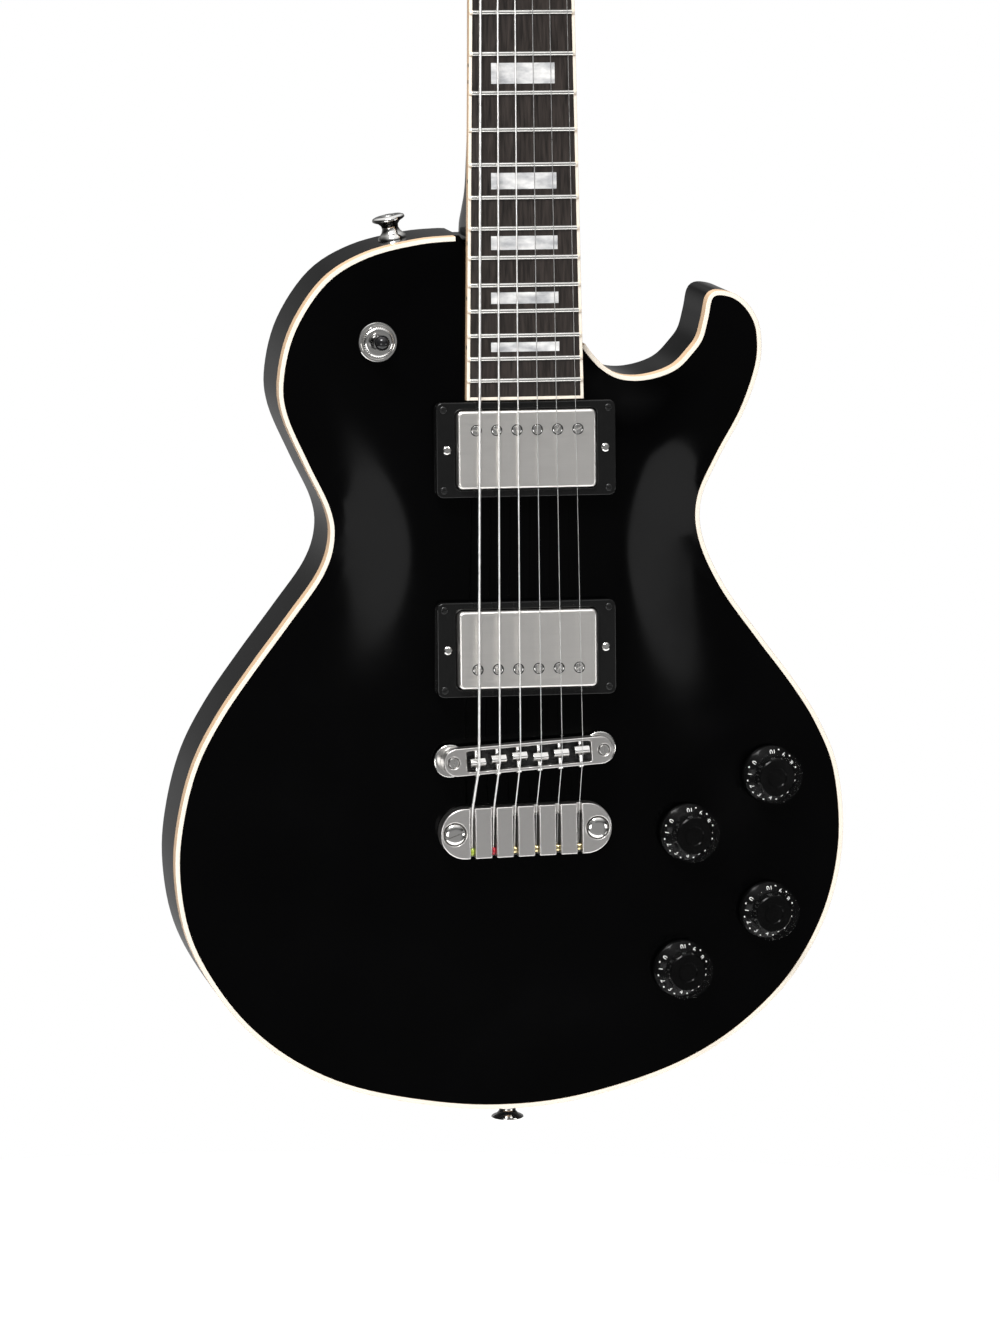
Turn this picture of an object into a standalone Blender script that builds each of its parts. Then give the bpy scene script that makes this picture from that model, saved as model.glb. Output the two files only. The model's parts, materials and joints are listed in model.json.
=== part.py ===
"""Electric guitar: carved single-cutaway body, set neck, 3+3 headstock, two pickups.

All measures below are in millimetres in the body frame: X across (treble side +), Y from
the front rim (0) to the flat back (+50), Z up from the line of the saddles. place() turns
them into the scene's metres, with the origin at HANGER, where a wall hanger holds the neck.
"""

import math

import bmesh
import bpy
from mathutils import Vector, geometry

MM = 0.001
HANGER = Vector((0.0, 30.0, 632.0))
GAP = 0.3

# Strings and neck
SCALE_LENGTH = 628.65
NECK_PITCH = math.radians(4.0)
FINGERBOARD_Y = -24.5
FINGERBOARD_END = 166.9
FINGERBOARD_THICKNESS = 6.0
FINGERBOARD_HALF_AT_NUT = 21.5
FINGERBOARD_HALF_AT_END = 28.8
CROWN_RADIUS = 305.0
FINGERBOARD_BINDING = 1.6
NECK_FACE = -FINGERBOARD_THICKNESS - GAP
NUT_THICKNESS = 5.0
STRING_HEIGHT_AT_NUT = 1.6
STRING_HEIGHT_AT_SADDLE = 5.2
STRING_DIAMETERS = (0.28, 0.36, 0.46, 0.71, 0.97, 1.32)
STRING_SPAN_AT_NUT = 35.5
STRING_SPAN_AT_SADDLE = 51.4
STRING_SPAN_AT_TAILPIECE = 53.0

# Headstock
HEAD_TILT = NECK_PITCH + math.radians(14.0)
HEAD_START = SCALE_LENGTH + NUT_THICKNESS + 0.5
HEAD_THICKNESS = 15.0
TUNER_PLACES = ((24.0, 38.0), (22.5, 78.0), (21.0, 118.0))
POST_RADIUS = 2.9
WORM_OFFSET = 7.1

# Body
BODY_DEPTH = 50.0
BODY_TOP_END = 242.5
BINDING_WIDTH = 2.2
BINDING_HEIGHT = 7.0
BACK_EDGE_RADIUS = 4.0
ARCH_HEIGHT = 11.5
ARCH_RIDGE = (-40.0, 158.0)
ARCH_RIDGE_RADIUS = 42.0
OUTLINE = (
    (-30.2, 242.5), (-50, 241), (-75, 235), (-95, 223), (-110, 201), (-116, 178),
    (-114.5, 160), (-104, 136), (-93.5, 114), (-91.5, 98), (-97, 81), (-112, 60),
    (-130, 36), (-146, 13), (-158, -10), (-165, -36), (-167.3, -62), (-163, -91),
    (-152, -115), (-134, -139), (-110, -158.5), (-80, -172.5), (-40, -181.3), (-5, -184),
    (30, -181), (70, -170.5), (100, -156.5), (125, -137), (143, -115), (156, -87),
    (161.5, -55), (158.5, -22), (149.5, 1), (137, 21), (118, 46), (100, 71), (89, 95),
    (88, 115), (97, 136), (109, 158), (116.5, 180), (117, 195), (114, 204), (108, 211),
    (101, 214), (95, 213), (92.7, 203), (90, 193), (85, 186), (78, 179), (69, 175),
    (58, 173.2), (48, 174.5), (40, 179), (34, 185), (29.5, 191),
)
NECK_SIDE = ((26.2, 197.0), (25.8, 220.0), (25.5, 240.3), (-27.8, 240.3))

# Bridge, tailpiece and pickups
BRIDGE_PLACE = -5.9
BRIDGE_SLANT = math.radians(3.4)
BRIDGE_LENGTH = 84.0
BRIDGE_WIDTH = 13.4
BRIDGE_TOP = 0.4
BRIDGE_BOTTOM = -8.6
BRIDGE_POST_SPACING = 74.4
SADDLE_WIDTH = 7.4
SADDLE_LENGTH = 4.4
SADDLE_STAGGER = (0.9, 0.3, -0.5, 0.7, 0.1, -0.7)
TAILPIECE_PLACE = (0.0, -43.7)
TAILPIECE_SLANT = math.radians(1.05)
TAILPIECE_LENGTH = 85.0
TAILPIECE_HEIGHT = 25.0
TAILPIECE_FRONT = -20.0
TAILPIECE_THICKNESS = 8.2
TAILPIECE_STUD_SPACING = 70.8
SLOT_WIDTH = 2.2
RING_LENGTH = 88.4
RING_HEIGHT = 46.0
COVER_LENGTH = 68.5
COVER_HEIGHT = 37.8
PICKUPS = {"neck": (143.2, 0.0, 2.4), "bridge": (46.3, -2.5, 1.2)}

# Controls
KNOBS = {
    "knob_tone_neck": (124.7, -21.6),
    "knob_volume_neck": (81.8, -48.2),
    "knob_volume_bridge": (80.3, -117.2),
    "knob_tone_bridge": (124.0, -89.8),
}
KNOB_RADIUS = 14.3
SHAFT_RADIUS = 2.9
BUSHING_RADIUS = 4.7
SWITCH_PLACE = (-71.3, 194.8)
JACK_NEAR = (152.0, -106.0)
JACK_PLATE = 36.0
COVER_THICKNESS = 2.0
STRAP_PLACES = {"upper": (-59.0, 243.0), "bottom": (0.0, -188.0)}


def finish(name, colour, roughness, metallic=0.0):
    material = bpy.data.materials.new(name)
    material.use_nodes = True
    shader = material.node_tree.nodes["Principled BSDF"]
    shader.inputs["Base Color"].default_value = (*colour, 1.0)
    shader.inputs["Roughness"].default_value = roughness
    shader.inputs["Metallic"].default_value = metallic
    return material


def place(point):
    """A point of the body frame, in millimetres, as a scene position in metres."""
    return (Vector(point) - HANGER) * MM


def on_neck(x, h, d):
    """x across, h above the fingerboard, d along it from the saddle line."""
    sine, cosine = math.sin(NECK_PITCH), math.cos(NECK_PITCH)
    return Vector((x, FINGERBOARD_Y + d * sine - h * cosine, d * cosine + h * sine))


def on_head(x, h, e):
    """x across, h above the headstock's face, e along it from the nut."""
    sine, cosine = math.sin(HEAD_TILT), math.cos(HEAD_TILT)
    return on_neck(0, NECK_FACE, HEAD_START) + Vector(
        (x, e * sine - h * cosine, e * cosine + h * sine)
    )


def on_bridge(x, h, d):
    """As on_neck, with the bridge's slant and its middle as the centre."""
    sine, cosine = math.sin(BRIDGE_SLANT), math.cos(BRIDGE_SLANT)
    return on_neck(x * cosine - d * sine, h, BRIDGE_PLACE + x * sine + d * cosine)


def on_tailpiece(x, y, z):
    sine, cosine = math.sin(TAILPIECE_SLANT), math.cos(TAILPIECE_SLANT)
    centre_x, centre_z = TAILPIECE_PLACE
    return Vector((centre_x + x * cosine - z * sine, y, centre_z + x * sine + z * cosine))


def add_piece(name, shape, material, pivot=None):
    """One named object from (points, faces), with its origin at the pivot."""
    points, faces = shape
    centre = Vector(pivot) if pivot is not None else HANGER
    mesh = bpy.data.meshes.new(name)
    mesh.from_pydata([(Vector(point) - centre) * MM for point in points], [], faces)
    edit = bmesh.new()
    edit.from_mesh(mesh)
    bmesh.ops.recalc_face_normals(edit, faces=edit.faces)
    edit.to_mesh(mesh)
    edit.free()
    mesh.materials.append(material)
    mesh.shade_smooth()
    mesh.set_sharp_from_angle(angle=math.radians(35))
    piece = bpy.data.objects.new(name, mesh)
    piece.location = place(centre)
    bpy.context.collection.objects.link(piece)
    return piece


def combine(piece, name, shape, operation):
    """Cuts the shape out of the piece, or joins it on, with an exact Boolean."""
    helper = add_piece(f"{operation.lower()}_{name}", shape, piece.data.materials[0])
    helper.hide_render = True
    helper.display_type = "WIRE"
    modifier = piece.modifiers.new(name, "BOOLEAN")
    modifier.object = helper
    modifier.operation = operation
    modifier.solver = "EXACT"


def cut(piece, name, shape):
    combine(piece, name, shape, "DIFFERENCE")


def join(piece, name, shape):
    combine(piece, name, shape, "UNION")


def loft(rings):
    """A closed solid through rings of equal length, with a cap at both ends."""
    count = len(rings[0])
    last = (len(rings) - 1) * count
    points = [point for ring in rings for point in ring]
    faces = [tuple(range(count))]
    for low in range(0, last, count):
        for i in range(count):
            j = (i + 1) % count
            faces.append((low + i, low + j, low + count + j, low + count + i))
    faces.append(tuple(range(last, last + count)))
    return points, faces


def turned(profile, base, axis, sides=16):
    """A round solid: profile holds (radius, distance from the base along the axis)."""
    along = Vector(axis).normalized()
    across = along.orthogonal().normalized()
    beside = along.cross(across)
    rings = []
    for radius, distance in profile:
        centre = Vector(base) + along * distance
        angles = [2 * math.pi * i / sides for i in range(sides)]
        rings.append(
            [centre + radius * (math.cos(a) * across + math.sin(a) * beside) for a in angles]
        )
    return loft(rings)


def prism(outline, low, high, frame=lambda x, w, z: Vector((x, w, z))):
    """An outline of (x, z) points carried from w = low to w = high of a frame."""
    return loft([[frame(x, w, z) for x, z in outline] for w in (low, high)])


def box(x_low, x_high, z_low, z_high):
    return [(x_low, z_low), (x_high, z_low), (x_high, z_high), (x_low, z_high)]


def rounded_box(length, height, radius, centre=(0.0, 0.0), steps=4):
    """A rectangle's outline with round corners."""
    outline = []
    for quarter, (side_x, side_z) in enumerate(((1, 1), (-1, 1), (-1, -1), (1, -1))):
        corner_x = centre[0] + side_x * (length / 2 - radius)
        corner_z = centre[1] + side_z * (height / 2 - radius)
        for step in range(steps + 1):
            angle = math.pi / 2 * (quarter + step / steps)
            outline.append(
                (corner_x + radius * math.cos(angle), corner_z + radius * math.sin(angle))
            )
    return outline


def around(corners, radius, steps=6):
    """The outline at this distance around a convex polygon, listed anticlockwise."""
    outline = []
    for i, corner in enumerate(corners):
        before = Vector(corner) - Vector(corners[i - 1])
        after = Vector(corners[(i + 1) % len(corners)]) - Vector(corner)
        start = math.atan2(-before.x, before.y)
        turn = (math.atan2(-after.x, after.y) - start) % (2 * math.pi)
        for step in range(steps + 1):
            angle = start + turn * step / steps
            outline.append(
                (corner[0] + radius * math.cos(angle), corner[1] + radius * math.sin(angle))
            )
    return outline


def spline(control, steps):
    """A smooth curve through the control points, as a list of (x, z)."""
    ends = [control[0], *control, control[-1]]
    curve = []
    for i in range(1, len(ends) - 2):
        p0, p1, p2, p3 = (Vector(ends[i + k]) for k in (-1, 0, 1, 2))
        for step in range(steps):
            t = step / steps
            point = 0.5 * (
                2 * p1
                + (p2 - p0) * t
                + (2 * p0 - 5 * p1 + 4 * p2 - p3) * t**2
                + (3 * p1 - p0 - 3 * p2 + p3) * t**3
            )
            curve.append((point.x, point.y))
    curve.append(tuple(control[-1]))
    return curve


def outward(outline):
    """The unit normals of a closed anticlockwise outline."""
    normals = []
    for i in range(len(outline)):
        before = Vector(outline[i - 1])
        after = Vector(outline[(i + 1) % len(outline)])
        along = (after - before).normalized()
        normals.append(Vector((along.y, -along.x)))
    return normals


def offset(outline, distance):
    """The outline moved outwards by a distance, point by point."""
    return [
        (x + normal.x * distance, z + normal.y * distance)
        for (x, z), normal in zip(outline, outward(outline))
    ]


CURVED_SIDE = spline(OUTLINE, 2)
TOP_OUTLINE = CURVED_SIDE + [Vector(point).to_tuple() for point in NECK_SIDE]


def edge_distance(x, z):
    """Distance from a point of the top to its outline."""
    point = Vector((x, z))
    nearest = math.inf
    for i, end in enumerate(TOP_OUTLINE):
        start = Vector(TOP_OUTLINE[i - 1])
        side = Vector(end) - start
        share = max(0.0, min(1.0, (point - start).dot(side) / side.length_squared))
        nearest = min(nearest, (point - start - side * share).length)
    return nearest


def neck_plane(z):
    """Y of the flat under the fingerboard."""
    return FINGERBOARD_Y + z * math.tan(NECK_PITCH) - NECK_FACE / math.cos(NECK_PITCH)


def top_y(x, z):
    """Y of the carved top: flat along the rim, full height along the middle ridge."""
    low, high = ARCH_RIDGE
    to_ridge = math.hypot(x, z - max(low, min(high, z))) - ARCH_RIDGE_RADIUS
    to_edge = edge_distance(x, z)
    share = to_edge / (to_edge + max(0.0, to_ridge) + 0.001)
    rise = ARCH_HEIGHT * share**2 * (3 - 2 * share)
    return max(-rise, neck_plane(z))


def top_normal(x, z):
    """Unit vector out of the carved top."""
    step = 4.0
    slope_x = (top_y(x + step, z) - top_y(x - step, z)) / (2 * step)
    slope_z = (top_y(x, z + step) - top_y(x, z - step)) / (2 * step)
    return Vector((slope_x, -1.0, slope_z)).normalized()


def rim_point(near):
    """The point of the rim nearest a place, at half depth, and the unit vector out of it."""
    rim = offset(TOP_OUTLINE, BINDING_WIDTH)
    best = (math.inf, None, None)
    for i, end in enumerate(rim):
        start = Vector(rim[i - 1])
        side = Vector(end) - start
        share = max(0.0, min(1.0, (Vector(near) - start).dot(side) / side.length_squared))
        point = start + side * share
        best = min(best, ((point - Vector(near)).length, point.to_tuple(), side.to_tuple()))
    _, (x, z), (along_x, along_z) = best
    return Vector((x, BODY_DEPTH / 2, z)), Vector((along_z, 0, -along_x)).normalized()


def body_solid():
    """The carved top as a triangulated surface, then the rebate, the rim and the back."""
    top = offset(TOP_OUTLINE, -GAP)
    count = len(top)
    spacing = 17
    inner = []
    for column in range(-10, 11):
        for row in range(-12, 15):
            x = column * spacing + (row % 2) * spacing / 2
            z = row * spacing
            if inside(top, x, z) and edge_distance(x, z) > 5:
                inner.append((x, z))
    loop = [(i, (i + 1) % count) for i in range(count)]
    flat, _, faces, origin, _, _ = geometry.delaunay_2d_cdt(
        [Vector(point) for point in top + inner], loop, [], 1, 0.001
    )
    points = [Vector((x, top_y(x, z) if i >= count else 0.0, z)) for i, (x, z) in enumerate(flat)]
    new_index = {ids[0]: i for i, ids in enumerate(origin) if ids}
    rings = [[new_index[i] for i in range(count)]]
    rim = offset(TOP_OUTLINE, BINDING_WIDTH)
    levels = [(top, BINDING_HEIGHT + GAP), (rim, BINDING_HEIGHT + GAP)]
    for step in range(3):
        angle = math.pi / 4 * step
        inset = BACK_EDGE_RADIUS * (1 - math.cos(angle))
        depth = BODY_DEPTH - BACK_EDGE_RADIUS * (1 - math.sin(angle))
        levels.append((offset(TOP_OUTLINE, BINDING_WIDTH - inset), depth))
    for outline, y in levels:
        rings.append(list(range(len(points), len(points) + count)))
        points += [Vector((x, y, z)) for x, z in outline]
    faces = [tuple(face) for face in faces]
    for upper, lower in zip(rings, rings[1:]):
        for i in range(count):
            j = (i + 1) % count
            faces.append((upper[i], upper[j], lower[j], lower[i]))
    faces.append(tuple(rings[-1]))
    return points, faces


def inside(outline, x, z):
    """Whether a point lies inside a closed outline."""
    crossings = 0
    for i, (x_b, z_b) in enumerate(outline):
        x_a, z_a = outline[i - 1]
        if (z_a > z) != (z_b > z) and x < x_a + (z - z_a) / (z_b - z_a) * (x_b - x_a):
            crossings += 1
    return crossings % 2 == 1


def control_frame():
    """Origin and axes of the plane that holds the four potentiometers."""
    centre_x = sum(x for x, _ in KNOBS.values()) / len(KNOBS)
    centre_z = sum(z for _, z in KNOBS.values()) / len(KNOBS)
    out = top_normal(centre_x, centre_z)
    across = (Vector((1, 0, 0)) - out * out.x).normalized()
    return Vector((centre_x, top_y(centre_x, centre_z), centre_z)), across, out.cross(across), out


def knob_places():
    """Each knob's point on the top, and its (u, v, depth) in the control frame."""
    origin, across, upward, out = control_frame()
    places = {}
    for name, (x, z) in KNOBS.items():
        point = Vector((x, top_y(x, z), z))
        away = point - origin
        places[name] = (point, (away.dot(across), away.dot(upward)), -away.dot(out))
    return places


def in_controls(u, depth, v):
    origin, across, upward, out = control_frame()
    return origin + across * u + upward * v - out * depth


def cavity_depth():
    """Depth of the control cavity's ceiling, 5 mm under the lowest knob's top."""
    return max(depth for _, _, depth in knob_places().values()) + 5.0


def at_back(point, out):
    """(x, z) where a line through the point along the normal meets the back."""
    reach = (BODY_DEPTH - point.y) / -out.y
    return (point.x - out.x * reach, point.z - out.z * reach)


def control_cover_corners():
    _, _, _, out = control_frame()
    return [at_back(point, out) for point, _, _ in knob_places().values()]


def switch_frame():
    """Point on the top, the outward direction and the lever's hinge axis."""
    x, z = SWITCH_PLACE
    out = top_normal(x, z)
    axis = (Vector((1, 0, 0)) - out * out.x).normalized()
    return Vector((x, top_y(x, z), z)), out, axis


def add_body(wood):
    body = add_piece("body", body_solid(), wood)
    platform = [
        [Vector((x, y, z)) for x, y in ((-27.4, 15), (27.4, 15), (27.4, top), (-27.4, top))]
        for z, top in ((168.1, neck_plane(168.1) - 0.12), (242.4, neck_plane(242.4) - 0.12))
    ]
    join(body, "neck_platform", loft(platform))
    cut(body, "neck_pocket", prism(box(-20.4, 20.4, 175.7, 270), 0, -36.8, on_neck))
    for name, (d, ring_top, _) in PICKUPS.items():
        seat = ring_seat(d)
        cut(body, f"{name}_ring_seat", prism(box(-44.6, 44.6, d - 24.3, d + 23.4), -30, seat))
        cut(body, f"{name}_pickup_cavity", prism(box(-36.5, 36.5, d - 22.4, d + 20.0), -30, 16))
        for side in (-1, 1):
            low, high = sorted((side * 36, side * 42.5))
            cut(body, f"{name}_ear_{side}", prism(box(low, high, d - 9.5, d + 9.5), -30, 16))
    _, _, _, out = control_frame()
    corners = [flat for _, flat, _ in knob_places().values()]
    cut(body, "control_cavity", prism(around(corners, 15), cavity_depth(), 80, in_controls))
    recess = around(control_cover_corners(), 21 + GAP)
    cut(body, "control_recess", prism(recess, BODY_DEPTH - COVER_THICKNESS - GAP, 60))
    for name, (point, _, _) in knob_places().items():
        hole = [(BUSHING_RADIUS + GAP, -30), (BUSHING_RADIUS + GAP, 10)]
        cut(body, f"{name}_hole", turned(hole, point, out, 16))
    point, out, _ = switch_frame()
    cut(body, "switch_hole", turned([(6.8, -30), (6.8, 10)], point, out))
    cut(body, "switch_cavity", turned([(19, 8), (19, 80)], point, -out, 32))
    back_x, back_z = at_back(point, out)
    centre = (back_x, BODY_DEPTH - COVER_THICKNESS - GAP, back_z)
    cut(body, "switch_recess", turned([(26 + GAP, 0), (26 + GAP, 20)], centre, (0, 1, 0), 40))
    for side in (-1, 1):
        post = on_bridge(side * BRIDGE_POST_SPACING / 2, 0, 0)
        down = on_neck(0, -1, 0) - on_neck(0, 0, 0)
        hole = [(3.0, 0), (3.0, 31)]
        cut(body, f"bridge_post_{side}", turned(hole, post, down, 16))
        stud = on_tailpiece(side * TAILPIECE_STUD_SPACING / 2, TAILPIECE_FRONT, 0)
        cut(body, f"stud_{side}", turned([(4.0, 0), (4.0, 28)], stud, (0, 1, 0), 16))
    point, out = rim_point(JACK_NEAR)
    seat = rounded_box(JACK_PLATE + 1, JACK_PLATE + 1, 3)
    cut(body, "jack_seat", prism(seat, 1.6, -10, beside_rim(point, out)))
    cut(body, "jack_bore", turned([(7.0, -2), (7.0, 30)], point, -out, 20))
    for name, near in STRAP_PLACES.items():
        point, out = rim_point(near)
        cut(body, f"{name}_strap_screw", turned([(2.2, -5), (2.2, 22)], point, -out, 12))
    return body


def beside_rim(point, out):
    """A frame on the rim: x along it, w into the body, z towards the back."""
    along = Vector((0, 1, 0)).cross(out)
    return lambda x, w, z: point + along * x - out * w + Vector((0, z, 0))


def add_body_binding(cream):
    """A strip in the rebate, from the neck's bass side round to its treble side."""
    inner = TOP_OUTLINE[: len(CURVED_SIDE)]
    outer = offset(TOP_OUTLINE, BINDING_WIDTH)[: len(CURVED_SIDE)]
    rings = [
        [(xi, 0, zi), (xo, 0.0, zo), (xo, BINDING_HEIGHT, zo), (xi, BINDING_HEIGHT, zi)]
        for (xi, zi), (xo, zo) in zip(inner, outer)
    ]
    add_piece("body_binding", loft(rings[1:-1]), cream)


def section(half, depth, power, d, level=False):
    """A ring across the neck: flat front, round back. A level ring keeps one Z."""
    ring = []
    for step in range(15):
        angle = math.pi * step / 14
        x = half * math.copysign(abs(math.cos(angle)) ** (2 / power), math.cos(angle))
        h = NECK_FACE - depth * math.sin(angle) ** (2 / power)
        ring.append(on_neck(x, h, d - (h - NECK_FACE) * math.tan(NECK_PITCH) * level))
    return ring


def head_section(half, power, e):
    ring = []
    for step in range(15):
        angle = math.pi * step / 14
        x = half * math.copysign(abs(math.cos(angle)) ** (2 / power), math.cos(angle))
        ring.append(on_head(x, -HEAD_THICKNESS * math.sin(angle) ** (2 / power), e))
    return ring


def half_width(d):
    """Half the fingerboard's width at distance d from the saddle line."""
    share = (SCALE_LENGTH - d) / (SCALE_LENGTH - FINGERBOARD_END)
    return FINGERBOARD_HALF_AT_NUT + share * (FINGERBOARD_HALF_AT_END - FINGERBOARD_HALF_AT_NUT)


def add_neck(wood):
    heel = BODY_TOP_END + 1.5
    rings = [
        section(20.0, 30.0, 9, 176.2),
        section(20.0, 30.0, 9, heel, level=True),
        section(27.0, 44.0, 4, heel + 1.2, level=True),
        section(27.2, 42.5, 3.6, 251, level=True),
        section(27.2, 36.0, 3.0, 259),
        section(27.0, 26.5, 2.6, 268),
        section(26.8, 20.5, 2.4, 279),
        section(26.2, 18.4, 2.2, 300),
        section(half_width(420) - 0.3, 17.2, 2.2, 420),
        section(half_width(560) - 0.3, 15.6, 2.2, 560),
        section(21.3, 15.0, 2.3, 618),
        section(21.4, 15.2, 2.8, HEAD_START - 2),
        head_section(22.4, 4.5, 8),
        head_section(26.0, 9, 16),
        head_section(32.5, 12, 26),
        head_section(36.0, 12, 36),
        head_section(36.8, 12, 48),
        head_section(35.0, 12, 110),
        head_section(33.0, 12, 160),
        head_section(31.0, 12, 171),
        head_section(25.0, 12, 179),
        head_section(14.0, 12, 184),
        head_section(6.0, 12, 185.5),
    ]
    neck = add_piece("neck", loft(rings), wood)
    cut(neck, "truss_channel", prism(box(-3.4, 3.4, 199, HEAD_START + 3), -5, -15.9, on_neck))
    cut(neck, "truss_pocket", prism(rounded_box(11, 22, 3, (0, 13)), 4, -8.5, on_head))
    for i, (x, e) in enumerate(tuner_places()):
        back = on_head(x, -HEAD_THICKNESS - 5, e)
        hole = [(4.75, 0), (4.75, HEAD_THICKNESS + 10)]
        cut(neck, f"tuner_hole_{i}", turned(hole, back, head_normal(), 12))


def head_normal():
    return on_head(0, 1, 0) - on_head(0, 0, 0)


def tuner_places():
    """(x, e) of the posts of strings 1 to 6: treble side first, from the nut up and back."""
    treble = [(x, e) for x, e in TUNER_PLACES]
    bass = [(-x, e) for x, e in reversed(TUNER_PLACES)]
    return treble + bass


def crown(x):
    """Height of the fingerboard's arched face at x."""
    return -(x**2) / (2 * CROWN_RADIUS)


def add_fingerboard(ebony, cream):
    ends = (FINGERBOARD_END + FINGERBOARD_BINDING + GAP, SCALE_LENGTH)
    rings = []
    for d in ends:
        half = half_width(d) - FINGERBOARD_BINDING - GAP
        face = [half * (1 - step / 5) for step in range(11)]
        ring = [on_neck(x, crown(x), d) for x in face]
        ring += [on_neck(-half, -FINGERBOARD_THICKNESS, d), on_neck(half, -FINGERBOARD_THICKNESS, d)]
        rings.append(ring)
    add_piece("fingerboard", loft(rings), ebony)

    outer_nut, outer_end = half_width(SCALE_LENGTH), half_width(FINGERBOARD_END)
    inner_nut, inner_end = outer_nut - FINGERBOARD_BINDING, outer_end - FINGERBOARD_BINDING
    inner_d = FINGERBOARD_END + FINGERBOARD_BINDING
    low = [inner_end * (1 - step / 4) for step in range(9)]
    outline = [(outer_nut, SCALE_LENGTH), (inner_nut, SCALE_LENGTH)]
    outline += [(x, inner_d) for x in low]
    outline += [(-inner_nut, SCALE_LENGTH), (-outer_nut, SCALE_LENGTH)]
    outline += [(x * outer_end / inner_end, FINGERBOARD_END) for x in reversed(low)]
    rings = [
        [on_neck(x, -FINGERBOARD_THICKNESS, d) for x, d in outline],
        [on_neck(x, crown(x), d) for x, d in outline],
    ]
    add_piece("fingerboard_binding", loft(rings), cream)


def add_nut_and_truss_rod(bone, steel, black):
    low, high = SCALE_LENGTH + GAP, SCALE_LENGTH + NUT_THICKNESS
    top = STRING_HEIGHT_AT_NUT - max(STRING_DIAMETERS) / 2 - GAP
    add_piece("nut", prism(box(-21.5, 21.5, low, high), NECK_FACE + GAP, top, on_neck), bone)

    middle = NECK_FACE - 4.8
    rings = []
    for half, d in ((3.0, 203), (3.0, HEAD_START), (2.3, HEAD_START + 0.5), (2.3, HEAD_START + 5.5)):
        corners = ((-half, -half), (half, -half), (half, half), (-half, half))
        rings.append([on_neck(x, middle + h * 1.3, d) for x, h in corners])
    add_piece("truss_rod", loft(rings), steel)

    outline = [(9.0, 0), (11.5, 4), (10.0, 12), (7.0, 24), (5.5, 33), (3.5, 36.5), (0, 37.6)]
    outline += [(-x, e) for x, e in reversed(outline[:-1])]
    outline = [(x, e + 7.0) for x, e in outline]
    add_piece("truss_rod_cover", prism(outline, GAP, 2.3, on_head), black)


def add_tuner(number, x, e, nickel, pearl):
    """A tuner: geared post, button shaft with its worm, and the case that holds both."""
    side = math.copysign(1, x)
    back = -HEAD_THICKNESS - GAP
    gear = back - 5.2
    worm_e = e + WORM_OFFSET
    normal = head_normal()
    case = prism(rounded_box(13, 19, 2, (x, e + 2.6), 2), back, back - 9.4, on_head)
    housing = add_piece(f"tuner_housing_{number}", case, nickel)
    bush = [(4.3, -2), (4.3, HEAD_THICKNESS + 2 * GAP), (5.4, HEAD_THICKNESS + 2 * GAP)]
    bush += [(5.4, HEAD_THICKNESS + 2.6), (4.3, HEAD_THICKNESS + 3.4)]
    join(housing, f"tuner_bush_{number}", turned(bush, on_head(x, back, e), normal, 12))
    room = prism(rounded_box(10.8, 16.4, 1.2, (x, e + 2.6), 1), back - 0.8, back - 8.2, on_head)
    cut(housing, f"tuner_room_{number}", room)
    bore = [(POST_RADIUS + 0.25, 0), (POST_RADIUS + 0.25, 30)]
    cut(housing, f"post_bore_{number}", turned(bore, on_head(x, gear, e), normal, 12))
    start = on_head(x, gear, worm_e)
    outwards = on_head(side, 0, 0) - on_head(0, 0, 0)
    cut(housing, f"shaft_bore_{number}", turned([(1.9, 0), (1.9, 12)], start, outwards, 12))

    post = [(2.9, -2.6), (4.4, -2.6), (4.4, 2.0), (POST_RADIUS, 2.0), (POST_RADIUS, 24.6)]
    post += [(2.4, 25.4), (2.4, 28.2), (POST_RADIUS, 29.0), (POST_RADIUS, 30.4), (2.2, 31.0)]
    base = on_head(x, gear, e)
    add_piece(f"tuner_post_{number}", turned(post, base, normal, 12), nickel, base)

    rings = []
    shape = [(-4.6, 1.2, 1.2), (-4.6, 2.2, 2.2), (4.6, 2.2, 2.2), (4.6, 1.6, 1.6)]
    shape += [(11.0, 1.6, 1.6), (11.0, 2.6, 2.6), (13.0, 2.8, 2.8), (14.5, 5.5, 3.2)]
    shape += [(17.0, 8.4, 3.9), (21.0, 9.6, 4.3), (25.5, 8.6, 4.0), (28.5, 5.6, 3.0), (29.6, 2.6, 1.5)]
    reach = abs(edge_reach(e)) - abs(x)
    for out, across, thick in shape:
        shift = out if out < 10 else out + reach - 12.0
        ring = []
        for i in range(10):
            angle = 2 * math.pi * i / 10
            away = (x + side * shift, gear + thick * math.cos(angle), worm_e + across * math.sin(angle))
            ring.append(on_head(*away))
        rings.append(ring)
    pivot = on_head(x, gear, worm_e)
    add_piece(f"tuner_button_{number}", loft(rings), pearl, pivot)


def edge_reach(e):
    """Half the headstock's width beside a tuner, plus room for a hand's nail."""
    return 36.8 - (e - 48) * 0.029 + 3.2


def string_x(number, span):
    """Strings 1 to 6 run from the treble side to the bass side."""
    return span / 2 - (number - 1) * span / 5


def saddle_point(number):
    """Where a string crosses its saddle, in the bridge's own (x, d)."""
    x = string_x(number, STRING_SPAN_AT_SADDLE)
    return x, SADDLE_STAGGER[number - 1]


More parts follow.
